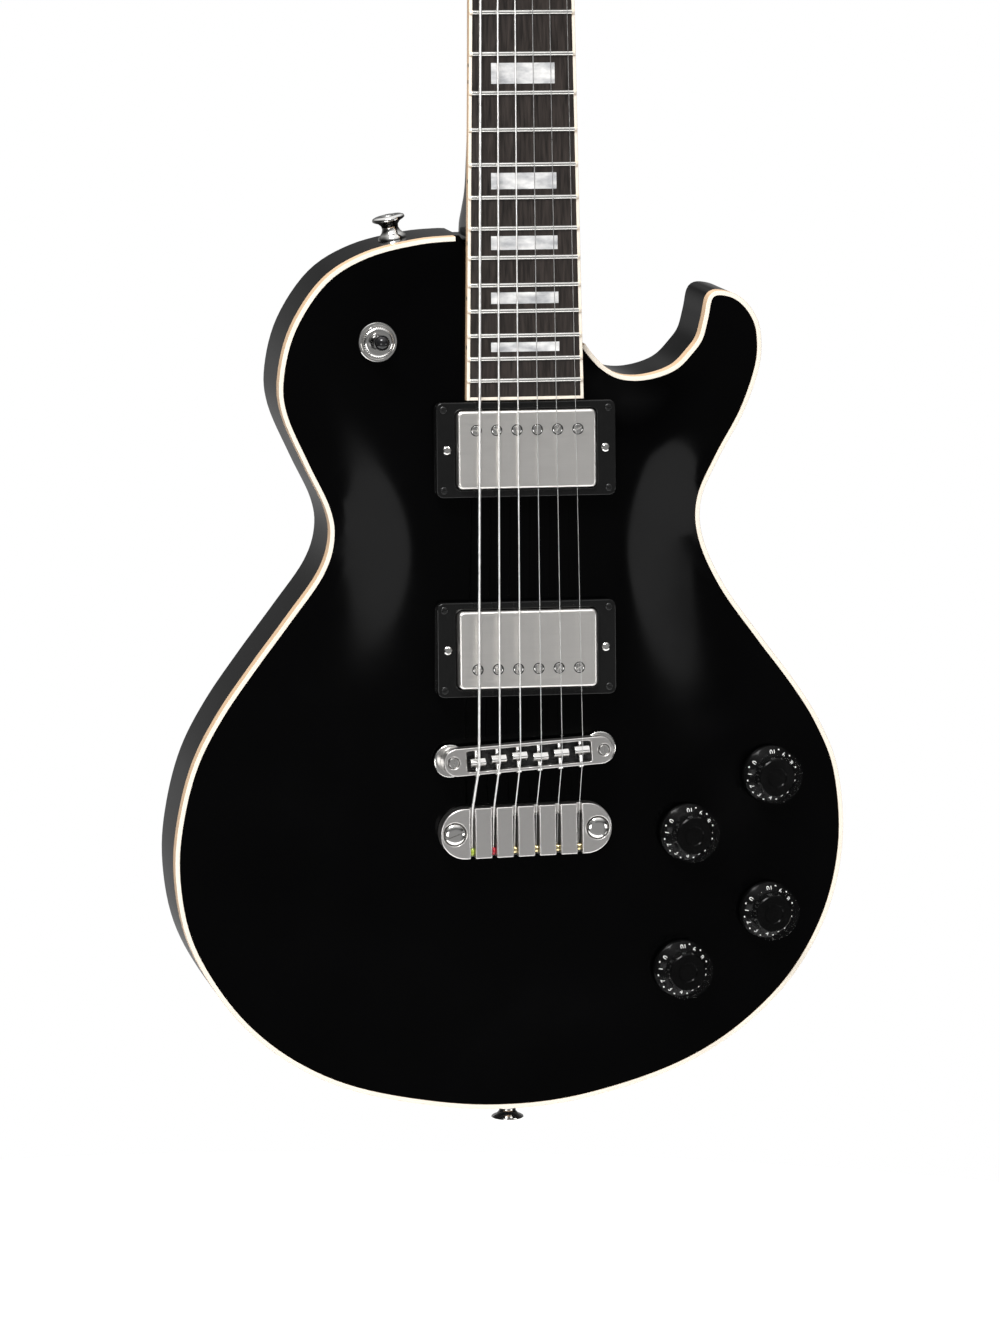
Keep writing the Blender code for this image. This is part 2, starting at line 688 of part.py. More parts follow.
def string_route(number):
    radius = STRING_DIAMETERS[number - 1] / 2
    tail_x = string_x(number, STRING_SPAN_AT_TAILPIECE)
    route = [
        on_tailpiece(tail_x, TAILPIECE_FRONT + 4.2, -9.0),
        on_tailpiece(tail_x, TAILPIECE_FRONT + 2.2, 6.0),
        on_tailpiece(tail_x, TAILPIECE_FRONT + 0.4, 12.6),
    ]
    x, d = saddle_point(number)
    for step in (-0.9, 0.0, 0.9):
        height = STRING_HEIGHT_AT_SADDLE - 0.28 * max(0.0, -step)
        route.append(on_bridge(x, height, d + step))
    nut_x = string_x(number, STRING_SPAN_AT_NUT)
    route.append(on_neck(nut_x, STRING_HEIGHT_AT_NUT, SCALE_LENGTH))
    route.append(on_neck(nut_x, STRING_HEIGHT_AT_NUT - 0.1, SCALE_LENGTH + NUT_THICKNESS))
    post_x, post_e = tuner_places()[number - 1]
    side = math.copysign(1, post_x)
    wrap = POST_RADIUS + radius + GAP
    pitch = 2 * radius + 0.5
    for step in range(16):
        angle = 2 * math.pi * step / 10
        away = (math.cos(angle) * wrap, math.sin(angle) * wrap)
        height = 6.9 - pitch * step / 10
        route.append(on_head(post_x - side * away[0], height, post_e + away[1]))
    return route, radius


def add_string(number, wire):
    route, radius = string_route(number)
    curve = bpy.data.curves.new(f"string_{number}", "CURVE")
    curve.dimensions = "3D"
    curve.bevel_depth = radius * MM
    curve.bevel_resolution = 1
    curve.use_fill_caps = True
    path = curve.splines.new("POLY")
    path.points.add(len(route) - 1)
    for point, position in zip(path.points, route):
        point.co = (*place(position), 1.0)
    curve.materials.append(wire)
    string = bpy.data.objects.new(f"string_{number}", curve)
    bpy.context.collection.objects.link(string)


def add_bridge(nickel, brass):
    outline = rounded_box(BRIDGE_LENGTH, BRIDGE_WIDTH, BRIDGE_WIDTH / 2 - 0.01, steps=7)
    bridge = add_piece("bridge", prism(outline, BRIDGE_BOTTOM, BRIDGE_TOP, on_bridge), nickel)
    trough = rounded_box(61.6, BRIDGE_WIDTH - 3.2, 1.0, steps=2)
    cut(bridge, "trough", prism(trough, -4.6, 5, on_bridge))
    down = on_neck(0, -1, 0) - on_neck(0, 0, 0)
    for side, name in ((-1, "bass"), (1, "treble")):
        centre = on_bridge(side * BRIDGE_POST_SPACING / 2, 0, 0)
        cut(bridge, f"post_hole_{name}", turned([(2.9, -5), (2.9, 15)], centre, down, 16))
        top = -BRIDGE_TOP - 0.2
        wheel = -BRIDGE_BOTTOM + GAP
        post = [(2.4, top), (2.6, top + 0.3), (2.6, wheel), (8.0, wheel), (8.0, wheel + 2.6)]
        post += [(2.6, wheel + 2.6), (2.6, 29)]
        add_piece(f"bridge_post_{name}", turned(post, centre, down), nickel)
    for number in range(1, 7):
        x, d = saddle_point(number)
        peak = STRING_HEIGHT_AT_SADDLE - STRING_DIAMETERS[number - 1] / 2 - GAP
        half = SADDLE_LENGTH / 2
        profile = ((-half, -4.3), (half, -4.3), (half, peak - 1.4), (0.7, peak - 0.1))
        profile += ((-0.3, peak - 0.1), (-half, peak - 2.6))
        rings = [
            [on_bridge(x + side * SADDLE_WIDTH / 2, h, d + along) for along, h in profile]
            for side in (-1, 1)
        ]
        pivot = on_bridge(x, 0, d)
        add_piece(f"saddle_{number}", loft(rings), brass, pivot)


def add_tailpiece(nickel):
    back = TAILPIECE_FRONT + TAILPIECE_THICKNESS
    outline = rounded_box(TAILPIECE_LENGTH, TAILPIECE_HEIGHT, TAILPIECE_HEIGHT / 2 - 0.01, steps=5)
    inset = rounded_box(TAILPIECE_LENGTH - 1.6, TAILPIECE_HEIGHT - 1.6, 11.7, steps=5)
    rings = [
        [on_tailpiece(x, y, z) for x, z in ring]
        for ring, y in ((outline, back), (outline, TAILPIECE_FRONT + 0.8), (inset, TAILPIECE_FRONT))
    ]
    tailpiece = add_piece("tailpiece", loft(rings), nickel)
    for number in range(1, 7):
        x = string_x(number, STRING_SPAN_AT_TAILPIECE)
        deep = prism(
            box(x - SLOT_WIDTH / 2, x + SLOT_WIDTH / 2, -20, 8),
            TAILPIECE_FRONT - 3, TAILPIECE_FRONT + 6.2, on_tailpiece,
        )
        shallow = prism(
            box(x - SLOT_WIDTH / 2 + 0.1, x + SLOT_WIDTH / 2 - 0.1, 7, 20),
            TAILPIECE_FRONT - 3, TAILPIECE_FRONT + 3.2, on_tailpiece,
        )
        cut(tailpiece, f"slot_{number}", deep)
        cut(tailpiece, f"groove_{number}", shallow)
    for side, name in ((-1, "bass"), (1, "treble")):
        centre = on_tailpiece(side * TAILPIECE_STUD_SPACING / 2, TAILPIECE_FRONT, 0)
        seat = [(5.6, -2), (5.6, 3.0)]
        cut(tailpiece, f"stud_seat_{name}", turned(seat, centre, (0, 1, 0)))
        cut(tailpiece, f"stud_hole_{name}", turned([(4.0, 1), (4.0, 15)], centre, (0, 1, 0)))
        stud = [(4.2, -1.2), (5.2, -0.4), (5.2, 2.7), (3.6, 2.7), (3.6, 26)]
        stud = turned(stud, centre, (0, 1, 0))
        piece = add_piece(f"tailpiece_stud_{name}", stud, nickel)
        slot = prism(box(-8, 8, -0.8, 0.8), -4, 0.4, lambda x, w, z, c=centre: c + Vector((x, w, z)))
        cut(piece, f"stud_slot_{name}", slot)


def ring_seat(d):
    """Y of the flat that a pickup ring rests on: the top's lowest place under the ring."""
    half_x, half_z = RING_LENGTH / 2, RING_HEIGHT / 2
    return max(top_y(x, d + z) for x in (-half_x, half_x) for z in (-half_z, 0, half_z))


def add_pickup(name, black, nickel):
    d, ring_top, cover_top = PICKUPS[name]
    seat = ring_seat(d) - GAP
    outline = rounded_box(RING_LENGTH, RING_HEIGHT, 3.5, (0, d))
    rings = []
    for inset in (0.0, 0.9):
        shrunk = rounded_box(RING_LENGTH - inset, RING_HEIGHT - inset, 3.5, (0, d))
        high = ring_top - (0.5 if inset == 0.0 else 0.0)
        rings.append([on_neck(x, high, z) for x, z in shrunk])
    sine, cosine = math.sin(NECK_PITCH), math.cos(NECK_PITCH)
    base = [on_neck(x, (FINGERBOARD_Y + z * sine - seat) / cosine, z) for x, z in outline]
    ring = add_piece(f"pickup_ring_{name}", loft([base, *rings]), black)
    opening = rounded_box(COVER_LENGTH + 1.0, COVER_HEIGHT + 1.0, 2.9, (0, d))
    cut(ring, f"{name}_opening", prism(opening, 20, -30, on_neck))
    rings = []
    for inset, h in ((2.4, cover_top), (0.6, cover_top - 0.6), (0.0, cover_top - 2.0), (0.0, -22.0)):
        cover = rounded_box(COVER_LENGTH - inset, COVER_HEIGHT - inset, 2.6, (0, d))
        rings.append([on_neck(x, h, z) for x, z in cover])
    pickup = add_piece(f"pickup_{name}", loft(rings), nickel, on_neck(0, cover_top, d))
    hollow = prism(box(-32.5, 32.5, d - 17, d + 17), cover_top - 4, -24, on_neck)
    cut(pickup, f"{name}_hollow", hollow)
    join(pickup, f"{name}_ears", prism(box(-41.5, 41.5, d - 7, d + 7), -21.6, -20.2, on_neck))


def add_controls(black, steel, plastic):
    _, _, _, out = control_frame()
    places = knob_places()
    ceiling = cavity_depth() + GAP
    corners = [flat for _, flat, _ in places.values()]
    sheet = prism(around(corners, 13.5), ceiling, ceiling + 1.5, in_controls)
    plate = add_piece("control_plate", sheet, steel)
    for name, (point, _, depth) in places.items():
        below = ceiling - depth
        pot = [(BUSHING_RADIUS, 3.0), (BUSHING_RADIUS, -below - 1)]
        pot += [(11.8, -below - 1), (11.8, -below - 9)]
        join(plate, f"{name}_pot", turned(pot, point, out))
        bore = [(SHAFT_RADIUS + 0.25, 8), (SHAFT_RADIUS + 0.25, -below - 5)]
        cut(plate, f"{name}_bore", turned(bore, point, out, 16))
        knob = [(SHAFT_RADIUS, -below - 4), (SHAFT_RADIUS, 7), (6.2, 7), (6.2, 1.2), (KNOB_RADIUS, 1.2)]
        knob += [(KNOB_RADIUS, 3.0), (13.5, 12.4), (12.8, 13.0), (3.0, 12.7)]
        add_piece(name, turned(knob, point, out, 20), black, point)
    cover = prism(around(control_cover_corners(), 21), BODY_DEPTH - COVER_THICKNESS, BODY_DEPTH)
    add_piece("control_cover", cover, plastic)


def add_switch(black, steel, plastic):
    point, out, axis = switch_frame()
    pivot_depth = -10.0
    housing = [(2.6, -12.5), (5.1, 4.6), (6.0, 4.6), (7.4, 4.2), (7.4, 1.9), (9.5, 1.7), (9.5, 0.5)]
    housing += [(6.4, 0.5), (6.4, -8.4), (10.5, -8.4), (10.5, -26)]
    add_piece("switch_housing", turned(housing, point, out), steel)
    lever = [(1.3, -11.2), (1.5, -10), (1.7, 7.5), (2.0, 8.5), (3.2, 10), (3.8, 12.4), (3.4, 15)]
    lever += [(1.9, 17.0)]
    add_piece("switch_lever", turned(lever, point, out, 16), black, point + out * pivot_depth)
    back_x, back_z = at_back(point, out)
    centre = (back_x, BODY_DEPTH - COVER_THICKNESS, back_z)
    add_piece("switch_cover", turned([(26, 0), (26, COVER_THICKNESS)], centre, (0, 1, 0), 40), plastic)


def add_jack(plastic, nickel):
    point, out = rim_point(JACK_NEAR)
    frame = beside_rim(point, out)
    plate = prism(rounded_box(JACK_PLATE, JACK_PLATE, 3), 1.3, -0.7, frame)
    jack = add_piece("output_jack", plate, nickel)
    barrel = [(6.6, -26), (6.6, 0), (7.4, 0.2), (7.4, 2.8), (6.4, 3.2)]
    join(jack, "jack_barrel", turned(barrel, point, out, 20))
    cut(jack, "jack_socket", turned([(3.3, -23.5), (3.3, 6)], point, out, 20))


def add_strap_buttons(nickel):
    for name, near in STRAP_PLACES.items():
        point, out = rim_point(near)
        profile = [(1.8, -20), (1.8, 0.6), (6.4, 0.6), (5.6, 2.2), (3.9, 4.6), (3.9, 6.6), (6.6, 8.6)]
        profile += [(8.0, 9.4), (8.0, 10.6), (7.0, 11.6), (5.4, 12.0)]
        add_piece(f"strap_button_{name}", turned(profile, point, out), nickel)


def build():
    for old in list(bpy.data.objects):
        bpy.data.objects.remove(old, do_unlink=True)
    black_wood = finish("black_lacquer", (0.006, 0.006, 0.007), 0.08)
    neck_wood = finish("neck_lacquer", (0.01, 0.009, 0.009), 0.12)
    cream = finish("cream_binding", (0.86, 0.72, 0.52), 0.35)
    ebony = finish("dark_fingerboard", (0.035, 0.024, 0.02), 0.45)
    bone = finish("nut_bone", (0.82, 0.78, 0.66), 0.4)
    steel = finish("steel", (0.5, 0.5, 0.5), 0.35, 1.0)
    nickel = finish("nickel_plate", (0.62, 0.6, 0.57), 0.22, 1.0)
    wire = finish("string_wire", (0.7, 0.69, 0.66), 0.3, 1.0)
    black_plastic = finish("black_plastic", (0.012, 0.012, 0.012), 0.2)

    add_body(black_wood)
    add_body_binding(cream)
    add_neck(neck_wood)
    add_fingerboard(ebony, cream)
    add_nut_and_truss_rod(bone, steel, black_plastic)
    for number, (x, e) in enumerate(tuner_places(), 1):
        add_tuner(number, x, e, nickel, nickel)
        add_string(number, wire)
    add_bridge(nickel, nickel)
    add_tailpiece(nickel)
    for name in PICKUPS:
        add_pickup(name, black_plastic, nickel)
    add_controls(black_plastic, steel, black_plastic)
    add_switch(black_plastic, steel, black_plastic)
    add_jack(black_plastic, nickel)
    add_strap_buttons(nickel)


build()
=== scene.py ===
"""Looks of the electric guitar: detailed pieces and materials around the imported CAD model.

Measures are in millimetres in the CAD's body frame: X across (treble side +), Y from the
front rim (0) to the flat back (+50), Z up from the line of the saddles. place() turns
them into the scene's metres, with the origin at HANGER.
"""

import json
import math

import bmesh
import bpy
import numpy as np
from mathutils import Matrix, Vector, geometry


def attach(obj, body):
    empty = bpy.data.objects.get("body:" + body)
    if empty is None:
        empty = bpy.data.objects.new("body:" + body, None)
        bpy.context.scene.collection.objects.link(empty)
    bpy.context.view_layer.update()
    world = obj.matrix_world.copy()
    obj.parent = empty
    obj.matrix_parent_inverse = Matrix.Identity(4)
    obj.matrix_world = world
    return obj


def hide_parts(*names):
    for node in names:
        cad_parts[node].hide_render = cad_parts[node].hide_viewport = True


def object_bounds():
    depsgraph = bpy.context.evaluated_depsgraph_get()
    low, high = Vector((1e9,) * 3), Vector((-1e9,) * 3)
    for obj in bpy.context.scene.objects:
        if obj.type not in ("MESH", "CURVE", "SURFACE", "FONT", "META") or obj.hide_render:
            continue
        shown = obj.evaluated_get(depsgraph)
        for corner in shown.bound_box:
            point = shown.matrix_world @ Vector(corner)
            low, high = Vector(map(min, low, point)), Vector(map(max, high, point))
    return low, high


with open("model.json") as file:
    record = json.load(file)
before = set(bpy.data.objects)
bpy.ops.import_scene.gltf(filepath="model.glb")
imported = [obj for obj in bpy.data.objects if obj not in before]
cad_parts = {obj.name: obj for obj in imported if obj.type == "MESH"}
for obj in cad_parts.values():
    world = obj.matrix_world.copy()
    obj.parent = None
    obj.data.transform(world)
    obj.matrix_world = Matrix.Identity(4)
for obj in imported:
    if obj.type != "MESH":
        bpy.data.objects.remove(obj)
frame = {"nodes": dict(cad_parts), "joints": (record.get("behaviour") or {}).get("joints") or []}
CAD_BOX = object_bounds()

MM = 0.001
HANGER = Vector((0.0, 30.0, 632.0))
# Clearance between neighbouring pieces
GAP = 0.3

# Strings and neck
SCALE_LENGTH = 628.65
NECK_PITCH = math.radians(4.0)
FINGERBOARD_Y = -24.5
FINGERBOARD_END = 166.9
FINGERBOARD_THICKNESS = 6.0
FINGERBOARD_HALF_AT_NUT = 21.5
FINGERBOARD_HALF_AT_END = 28.8
CROWN_RADIUS = 305.0
FINGERBOARD_BINDING = 1.6
NECK_FACE = -FINGERBOARD_THICKNESS - GAP
NUT_THICKNESS = 5.0
FRETS = 22
FRET_HEIGHT = 1.1
FRET_WIDTH = 2.2
BLOCK_FRETS = (1, 3, 5, 7, 9, 12, 15, 17, 19, 21)
STRING_HEIGHT_AT_NUT = 1.6
STRING_HEIGHT_AT_SADDLE = 5.2
STRING_DIAMETERS = (0.28, 0.36, 0.46, 0.71, 0.97, 1.32)
STRING_SPAN_AT_NUT = 35.5
STRING_SPAN_AT_SADDLE = 51.4
STRING_SPAN_AT_TAILPIECE = 53.0
STRING_TURNS = 2.4
STEPS_PER_TURN = 28

# Headstock
HEAD_TILT = NECK_PITCH + math.radians(14.0)
HEAD_START = SCALE_LENGTH + NUT_THICKNESS + 0.5
HEAD_THICKNESS = 15.0
TUNER_PLACES = ((24.0, 38.0), (22.5, 78.0), (21.0, 118.0))
POST_RADIUS = 2.9
WORM_OFFSET = 7.1

# Body
BODY_DEPTH = 50.0
BODY_TOP_END = 242.5
BINDING_WIDTH = 2.2
BINDING_HEIGHT = 7.0
# (share of the binding's width, Y) round its section, with an eased outer edge
BINDING_SECTION = (
    (0, 0), (0.7, 0), (0.93, 0.12), (1, 0.5), (1, BINDING_HEIGHT), (0, BINDING_HEIGHT),
)
BACK_EDGE_RADIUS = 4.0
ARCH_HEIGHT = 11.5
ARCH_RIDGE = (-40.0, 158.0)
ARCH_RIDGE_RADIUS = 42.0
TOP_SPACING = 4.0
OUTLINE = (
    (-30.2, 242.5), (-50, 241), (-75, 235), (-95, 223), (-110, 201), (-116, 178),
    (-114.5, 160), (-104, 136), (-93.5, 114), (-91.5, 98), (-97, 81), (-112, 60),
    (-130, 36), (-146, 13), (-158, -10), (-165, -36), (-167.3, -62), (-163, -91),
    (-152, -115), (-134, -139), (-110, -158.5), (-80, -172.5), (-40, -181.3), (-5, -184),
    (30, -181), (70, -170.5), (100, -156.5), (125, -137), (143, -115), (156, -87),
    (161.5, -55), (158.5, -22), (149.5, 1), (137, 21), (118, 46), (100, 71), (89, 95),
    (88, 115), (97, 136), (109, 158), (116.5, 180), (117, 195), (114, 204), (108, 211),
    (101, 214), (95, 213), (92.7, 203), (90, 193), (85, 186), (78, 179), (69, 175),
    (58, 173.2), (48, 174.5), (40, 179), (34, 185), (29.5, 191),
)
NECK_SIDE = ((26.2, 197.0), (25.8, 220.0), (25.5, 240.3), (-27.8, 240.3))

# Bridge, tailpiece and pickups
BRIDGE_PLACE = -5.9
BRIDGE_SLANT = math.radians(3.4)
BRIDGE_LENGTH = 84.0
BRIDGE_WIDTH = 13.4
BRIDGE_TOP = 0.4
BRIDGE_BOTTOM = -8.6
BRIDGE_POST_SPACING = 74.4
WHEEL_TEETH = 72
SADDLE_WIDTH = 7.4
SADDLE_LENGTH = 4.4
SADDLE_STAGGER = (0.9, 0.3, -0.5, 0.7, 0.1, -0.7)
TAILPIECE_PLACE = (0.0, -43.7)
TAILPIECE_SLANT = math.radians(1.05)
TAILPIECE_LENGTH = 85.0
TAILPIECE_HEIGHT = 25.0
TAILPIECE_FRONT = -20.0
TAILPIECE_THICKNESS = 8.2
TAILPIECE_STUD_SPACING = 70.8
SLOT_WIDTH = 2.2
RING_LENGTH = 88.4
RING_HEIGHT = 46.0
COVER_LENGTH = 68.5
COVER_HEIGHT = 37.8
# Place along the neck, top of the ring, top of the cover, and the side its poles are on
PICKUPS = {"neck": (143.2, 0.0, 2.4, 1), "bridge": (46.3, -2.5, 1.2, -1)}
POLE_SPAN = 50.0
POLE_OFFSET = 9.4
COVER_EDGE = 1.5
COVER_CORNER = 2.8
COVER_SKIRT = 16.0

# Controls
KNOBS = ("knob_tone_neck", "knob_volume_neck", "knob_volume_bridge", "knob_tone_bridge")
KNOB_RADIUS = 14.3
KNOB_CORE_RADIUS = 9.4
COLLAR_RADIUS = 13.6
COLLAR_LOW = 4.2
COLLAR_HIGH = 6.4
DOT_RADIUS = 12.7
NUMERAL_RADIUS = 11.5
NUMERAL_SIZE = 3.3
FIRST_NUMERAL = math.radians(145.0)
NUMERAL_STEP = math.radians(30.5)
SWITCH_PLACE = (-71.3, 194.8)
NUT_TEETH = 80
JACK_NEAR = (152.0, -106.0)
JACK_PLATE = 36.0
COVER_THICKNESS = 2.0
STRAP_PLACES = {"upper": (-59.0, 243.0), "bottom": (0.0, -188.0)}

# Scene, in metres and radians
FLOOR_DROP = 0.45
FLOOR_RADIUS = 1.3
FLOOR_CENTRE_Y = 0.5
CAMERA_PLACE = (-605.0, -2997.7, 530.5)
CAMERA_YAW, CAMERA_PITCH, CAMERA_ROLL = 0.19606, -0.15986, 0.00439
CAMERA_LENS = 173.45
# Place, aim, size and power of each softbox
SOFTBOXES = {
    "strip_left": ((-0.92, -1.84, -0.8), (-0.07, 0.0, -0.52), (0.86, 0.6), 6.0),
    "strip_right": ((1.48, -1.42, -0.85), (0.08, 0.0, -0.53), (0.86, 0.46), 4.6),
    "key_top": ((-0.8, -1.2, 1.6), (0.0, 0.0, -0.4), (1.2, 0.8), 75),
}

JOINTS = {joint["child"]: joint for joint in frame["joints"]}


# Frames: each turns local measures into a point of the body frame


def place(point):
    """A point of the body frame, in millimetres, as a scene position in metres."""
    return (Vector(point) - HANGER) * MM


def from_scene(position):
    """The reverse of place()."""
    return Vector(position) / MM + HANGER


def on_neck(x, h, d):
    """x across, h above the fingerboard, d along it from the saddle line."""
    sine, cosine = math.sin(NECK_PITCH), math.cos(NECK_PITCH)
    return Vector((x, FINGERBOARD_Y + d * sine - h * cosine, d * cosine + h * sine))


def on_head(x, h, e):
    """x across, h above the headstock's face, e along it from the nut."""
    sine, cosine = math.sin(HEAD_TILT), math.cos(HEAD_TILT)
    return on_neck(0, NECK_FACE, HEAD_START) + Vector(
        (x, e * sine - h * cosine, e * cosine + h * sine)
    )


HEAD_OUT = on_head(0, 1, 0) - on_head(0, 0, 0)


def on_bridge(x, h, d):
    """As on_neck, with the bridge's slant and its middle as the centre."""
    sine, cosine = math.sin(BRIDGE_SLANT), math.cos(BRIDGE_SLANT)
    return on_neck(x * cosine - d * sine, h, BRIDGE_PLACE + x * sine + d * cosine)


def on_tailpiece(x, h, z):
    """h in front of the tailpiece's face."""
    sine, cosine = math.sin(TAILPIECE_SLANT), math.cos(TAILPIECE_SLANT)
    centre_x, centre_z = TAILPIECE_PLACE
    return Vector(
        (centre_x + x * cosine - z * sine, TAILPIECE_FRONT - h, centre_z + x * sine + z * cosine)
    )


def facing(base, axis, turn=0.0):
    """A local frame: a and b across the axis (b upwards), c along it from the base."""
    out = Vector(axis).normalized()
    across = Vector((0, 0, 1)).cross(out)
    if across.length < 0.2:
        across = Vector((1, 0, 0))
    across = (across - out * across.dot(out)).normalized()
    upward = out.cross(across)
    u = across * math.cos(turn) + upward * math.sin(turn)
    v = upward * math.cos(turn) - across * math.sin(turn)
    return lambda a, b, c: Vector(base) + u * a + v * b + out * c


# Shapes: every one is (points, faces)


def merge(shapes):
    """Several shapes as one."""
    points, faces = [], []
    for more_points, more_faces in shapes:
        start = len(points)
        points += more_points
        faces += [tuple(start + i for i in face) for face in more_faces]
    return points, faces


def loft(rings, closed=False):
    """A solid through rings of equal length; a closed one joins its last ring to its first."""
    count = len(rings[0])
    points = [point for ring in rings for point in ring]
    pairs = list(zip(range(len(rings) - 1), range(1, len(rings))))
    if closed:
        pairs.append((len(rings) - 1, 0))
    faces = []
    for first, second in pairs:
        for i in range(count):
            j = (i + 1) % count
            low, high = first * count, second * count
            faces.append((low + i, low + j, high + j, high + i))
    if not closed:
        last = len(points) - count
        faces += [tuple(range(count)), tuple(range(last, last + count))]
    return points, faces


def turned(profile, local, sides=48, closed=False):
    """A round solid: profile holds (radius, distance along the frame's axis)."""
    rings = []
    for radius, distance in profile:
        angles = [2 * math.pi * i / sides for i in range(sides)]
        rings.append([local(radius * math.cos(a), radius * math.sin(a), distance) for a in angles])
    return loft(rings, closed)


def knurled(profile, count, depth, local):
    """As turned, with every second point of its outer rings set in by a depth."""
    rings = []
    for radius, distance in profile:
        ring = []
        for i in range(count):
            angle = 2 * math.pi * i / count
            reach = radius - depth * (i % 2) * (radius > 6)
            ring.append(local(reach * math.cos(angle), reach * math.sin(angle), distance))
        rings.append(ring)
    return loft(rings)


def slotted(profile, slot, depth, local, steps=14):
    """A screw head: two half rounds with a slot between them, on a disc under the slot."""
    halves = []
    for side in (-1, 1):
        rings = []
        for radius, distance in profile:
            start = math.asin(slot / 2 / radius)
            angles = [start + (math.pi - 2 * start) * i / steps for i in range(steps + 1)]
            rings.append(
                [local(radius * math.cos(a), side * radius * math.sin(a), distance) for a in angles]
            )
        halves.append(loft(rings))
    radius, top = profile[0][0], profile[-1][1] - depth
    halves.append(turned([(radius, profile[0][1] - 0.6), (radius * 0.96, top)], local, 32))
    return merge(halves)


def prism(outline, low, high, local):
    """An outline of (x, z) points carried from one height to another of a frame."""
    return loft([[local(x, h, z) for x, z in outline] for h in (low, high)])


def box(x_low, x_high, z_low, z_high):
    """A rectangle's outline."""
    return [(x_low, z_low), (x_high, z_low), (x_high, z_high), (x_low, z_high)]


def rounded_box(length, height, radius, centre=(0.0, 0.0), steps=8):
    """A rectangle's outline with round corners."""
    outline = []
    for quarter, (side_x, side_z) in enumerate(((1, 1), (-1, 1), (-1, -1), (1, -1))):
        corner_x = centre[0] + side_x * (length / 2 - radius)
        corner_z = centre[1] + side_z * (height / 2 - radius)
        for step in range(steps + 1):
            angle = math.pi / 2 * (quarter + step / steps)
            outline.append(
                (corner_x + radius * math.cos(angle), corner_z + radius * math.sin(angle))
            )
    return outline


def around(corners, radius, steps=10):
    """The outline at this distance around a convex polygon, listed anticlockwise."""
    outline = []
    for i, corner in enumerate(corners):
        before = Vector(corner) - Vector(corners[i - 1])
        after = Vector(corners[(i + 1) % len(corners)]) - Vector(corner)
        start = math.atan2(-before.x, before.y)
        turn = (math.atan2(-after.x, after.y) - start) % (2 * math.pi)
        for step in range(steps + 1):
            angle = start + turn * step / steps
            outline.append(
                (corner[0] + radius * math.cos(angle), corner[1] + radius * math.sin(angle))
            )
    return outline


def spline(control, steps):
    """A smooth curve through control points of any dimension, as a list of tuples."""
    ends = [Vector(point) for point in (control[0], *control, control[-1])]
    curve = []
    for i in range(1, len(ends) - 2):
        p0, p1, p2, p3 = ends[i - 1 : i + 3]
        for step in range(steps):
            t = step / steps
            point = 0.5 * (
                2 * p1
                + (p2 - p0) * t
                + (2 * p0 - 5 * p1 + 4 * p2 - p3) * t**2
                + (3 * p1 - p0 - 3 * p2 + p3) * t**3
            )
            curve.append(tuple(point))
    curve.append(tuple(ends[-1]))
    return curve


def offset(outline, distance):
    """A closed anticlockwise outline moved outwards by a distance, point by point."""
    moved = []
    for i, (x, z) in enumerate(outline):
        along = Vector(outline[(i + 1) % len(outline)]) - Vector(outline[i - 1])
        along.normalize()
        moved.append((x + along.y * distance, z - along.x * distance))
    return moved


# Materials


def set_inputs(node, values):
    """Sets the named inputs of a shader node."""
    for name, value in values.items():
        node.inputs[name].default_value = value


def surface(
    name, colour, roughness, metallic=0.0, scale=300.0, stretch=(1, 1, 1), tint=0.15,
    wear=0.25, bump=0.04, specular=0.5, second=None,
):
    """A Principled material whose colour, roughness and relief follow a noise.

    scale is the noise's cells per metre, and stretch squeezes it along an axis into grain.
    """
    material = bpy.data.materials.new(name)
    material.use_nodes = True
    nodes, link = material.node_tree.nodes, material.node_tree.links.new
    shader = nodes["Principled BSDF"]
    set_inputs(shader, {"Metallic": metallic, "Specular IOR Level": specular})
    where = nodes.new("ShaderNodeTexCoord")
    mapping = nodes.new("ShaderNodeMapping")
    mapping.inputs["Scale"].default_value = [scale * factor for factor in stretch]
    noise = nodes.new("ShaderNodeTexNoise")
    set_inputs(noise, {"Scale": 1.0, "Detail": 5.0})
    link(where.outputs["Object"], mapping.inputs["Vector"])
    link(mapping.outputs["Vector"], noise.inputs["Vector"])
    ramp = nodes.new("ShaderNodeValToRGB")
    ramp.color_ramp.elements[0].position = 0.3
    ramp.color_ramp.elements[1].position = 0.7
    darker = second or [channel * (1 - tint) for channel in colour]
    ramp.color_ramp.elements[0].color = (*darker, 1.0)
    ramp.color_ramp.elements[1].color = (*colour, 1.0)
    link(noise.outputs["Fac"], ramp.inputs["Fac"])
    link(ramp.outputs["Color"], shader.inputs["Base Color"])
    rough = nodes.new("ShaderNodeMapRange")
    limits = {"To Min": roughness * (1 - wear), "To Max": roughness * (1 + wear)}
    set_inputs(rough, {"From Min": 0.3, "From Max": 0.7, **limits})
    link(noise.outputs["Fac"], rough.inputs["Value"])
    link(rough.outputs["Result"], shader.inputs["Roughness"])
    relief = nodes.new("ShaderNodeBump")
    set_inputs(relief, {"Strength": bump, "Distance": 0.0002})
    link(noise.outputs["Fac"], relief.inputs["Height"])
    link(relief.outputs["Normal"], shader.inputs["Normal"])
    return material


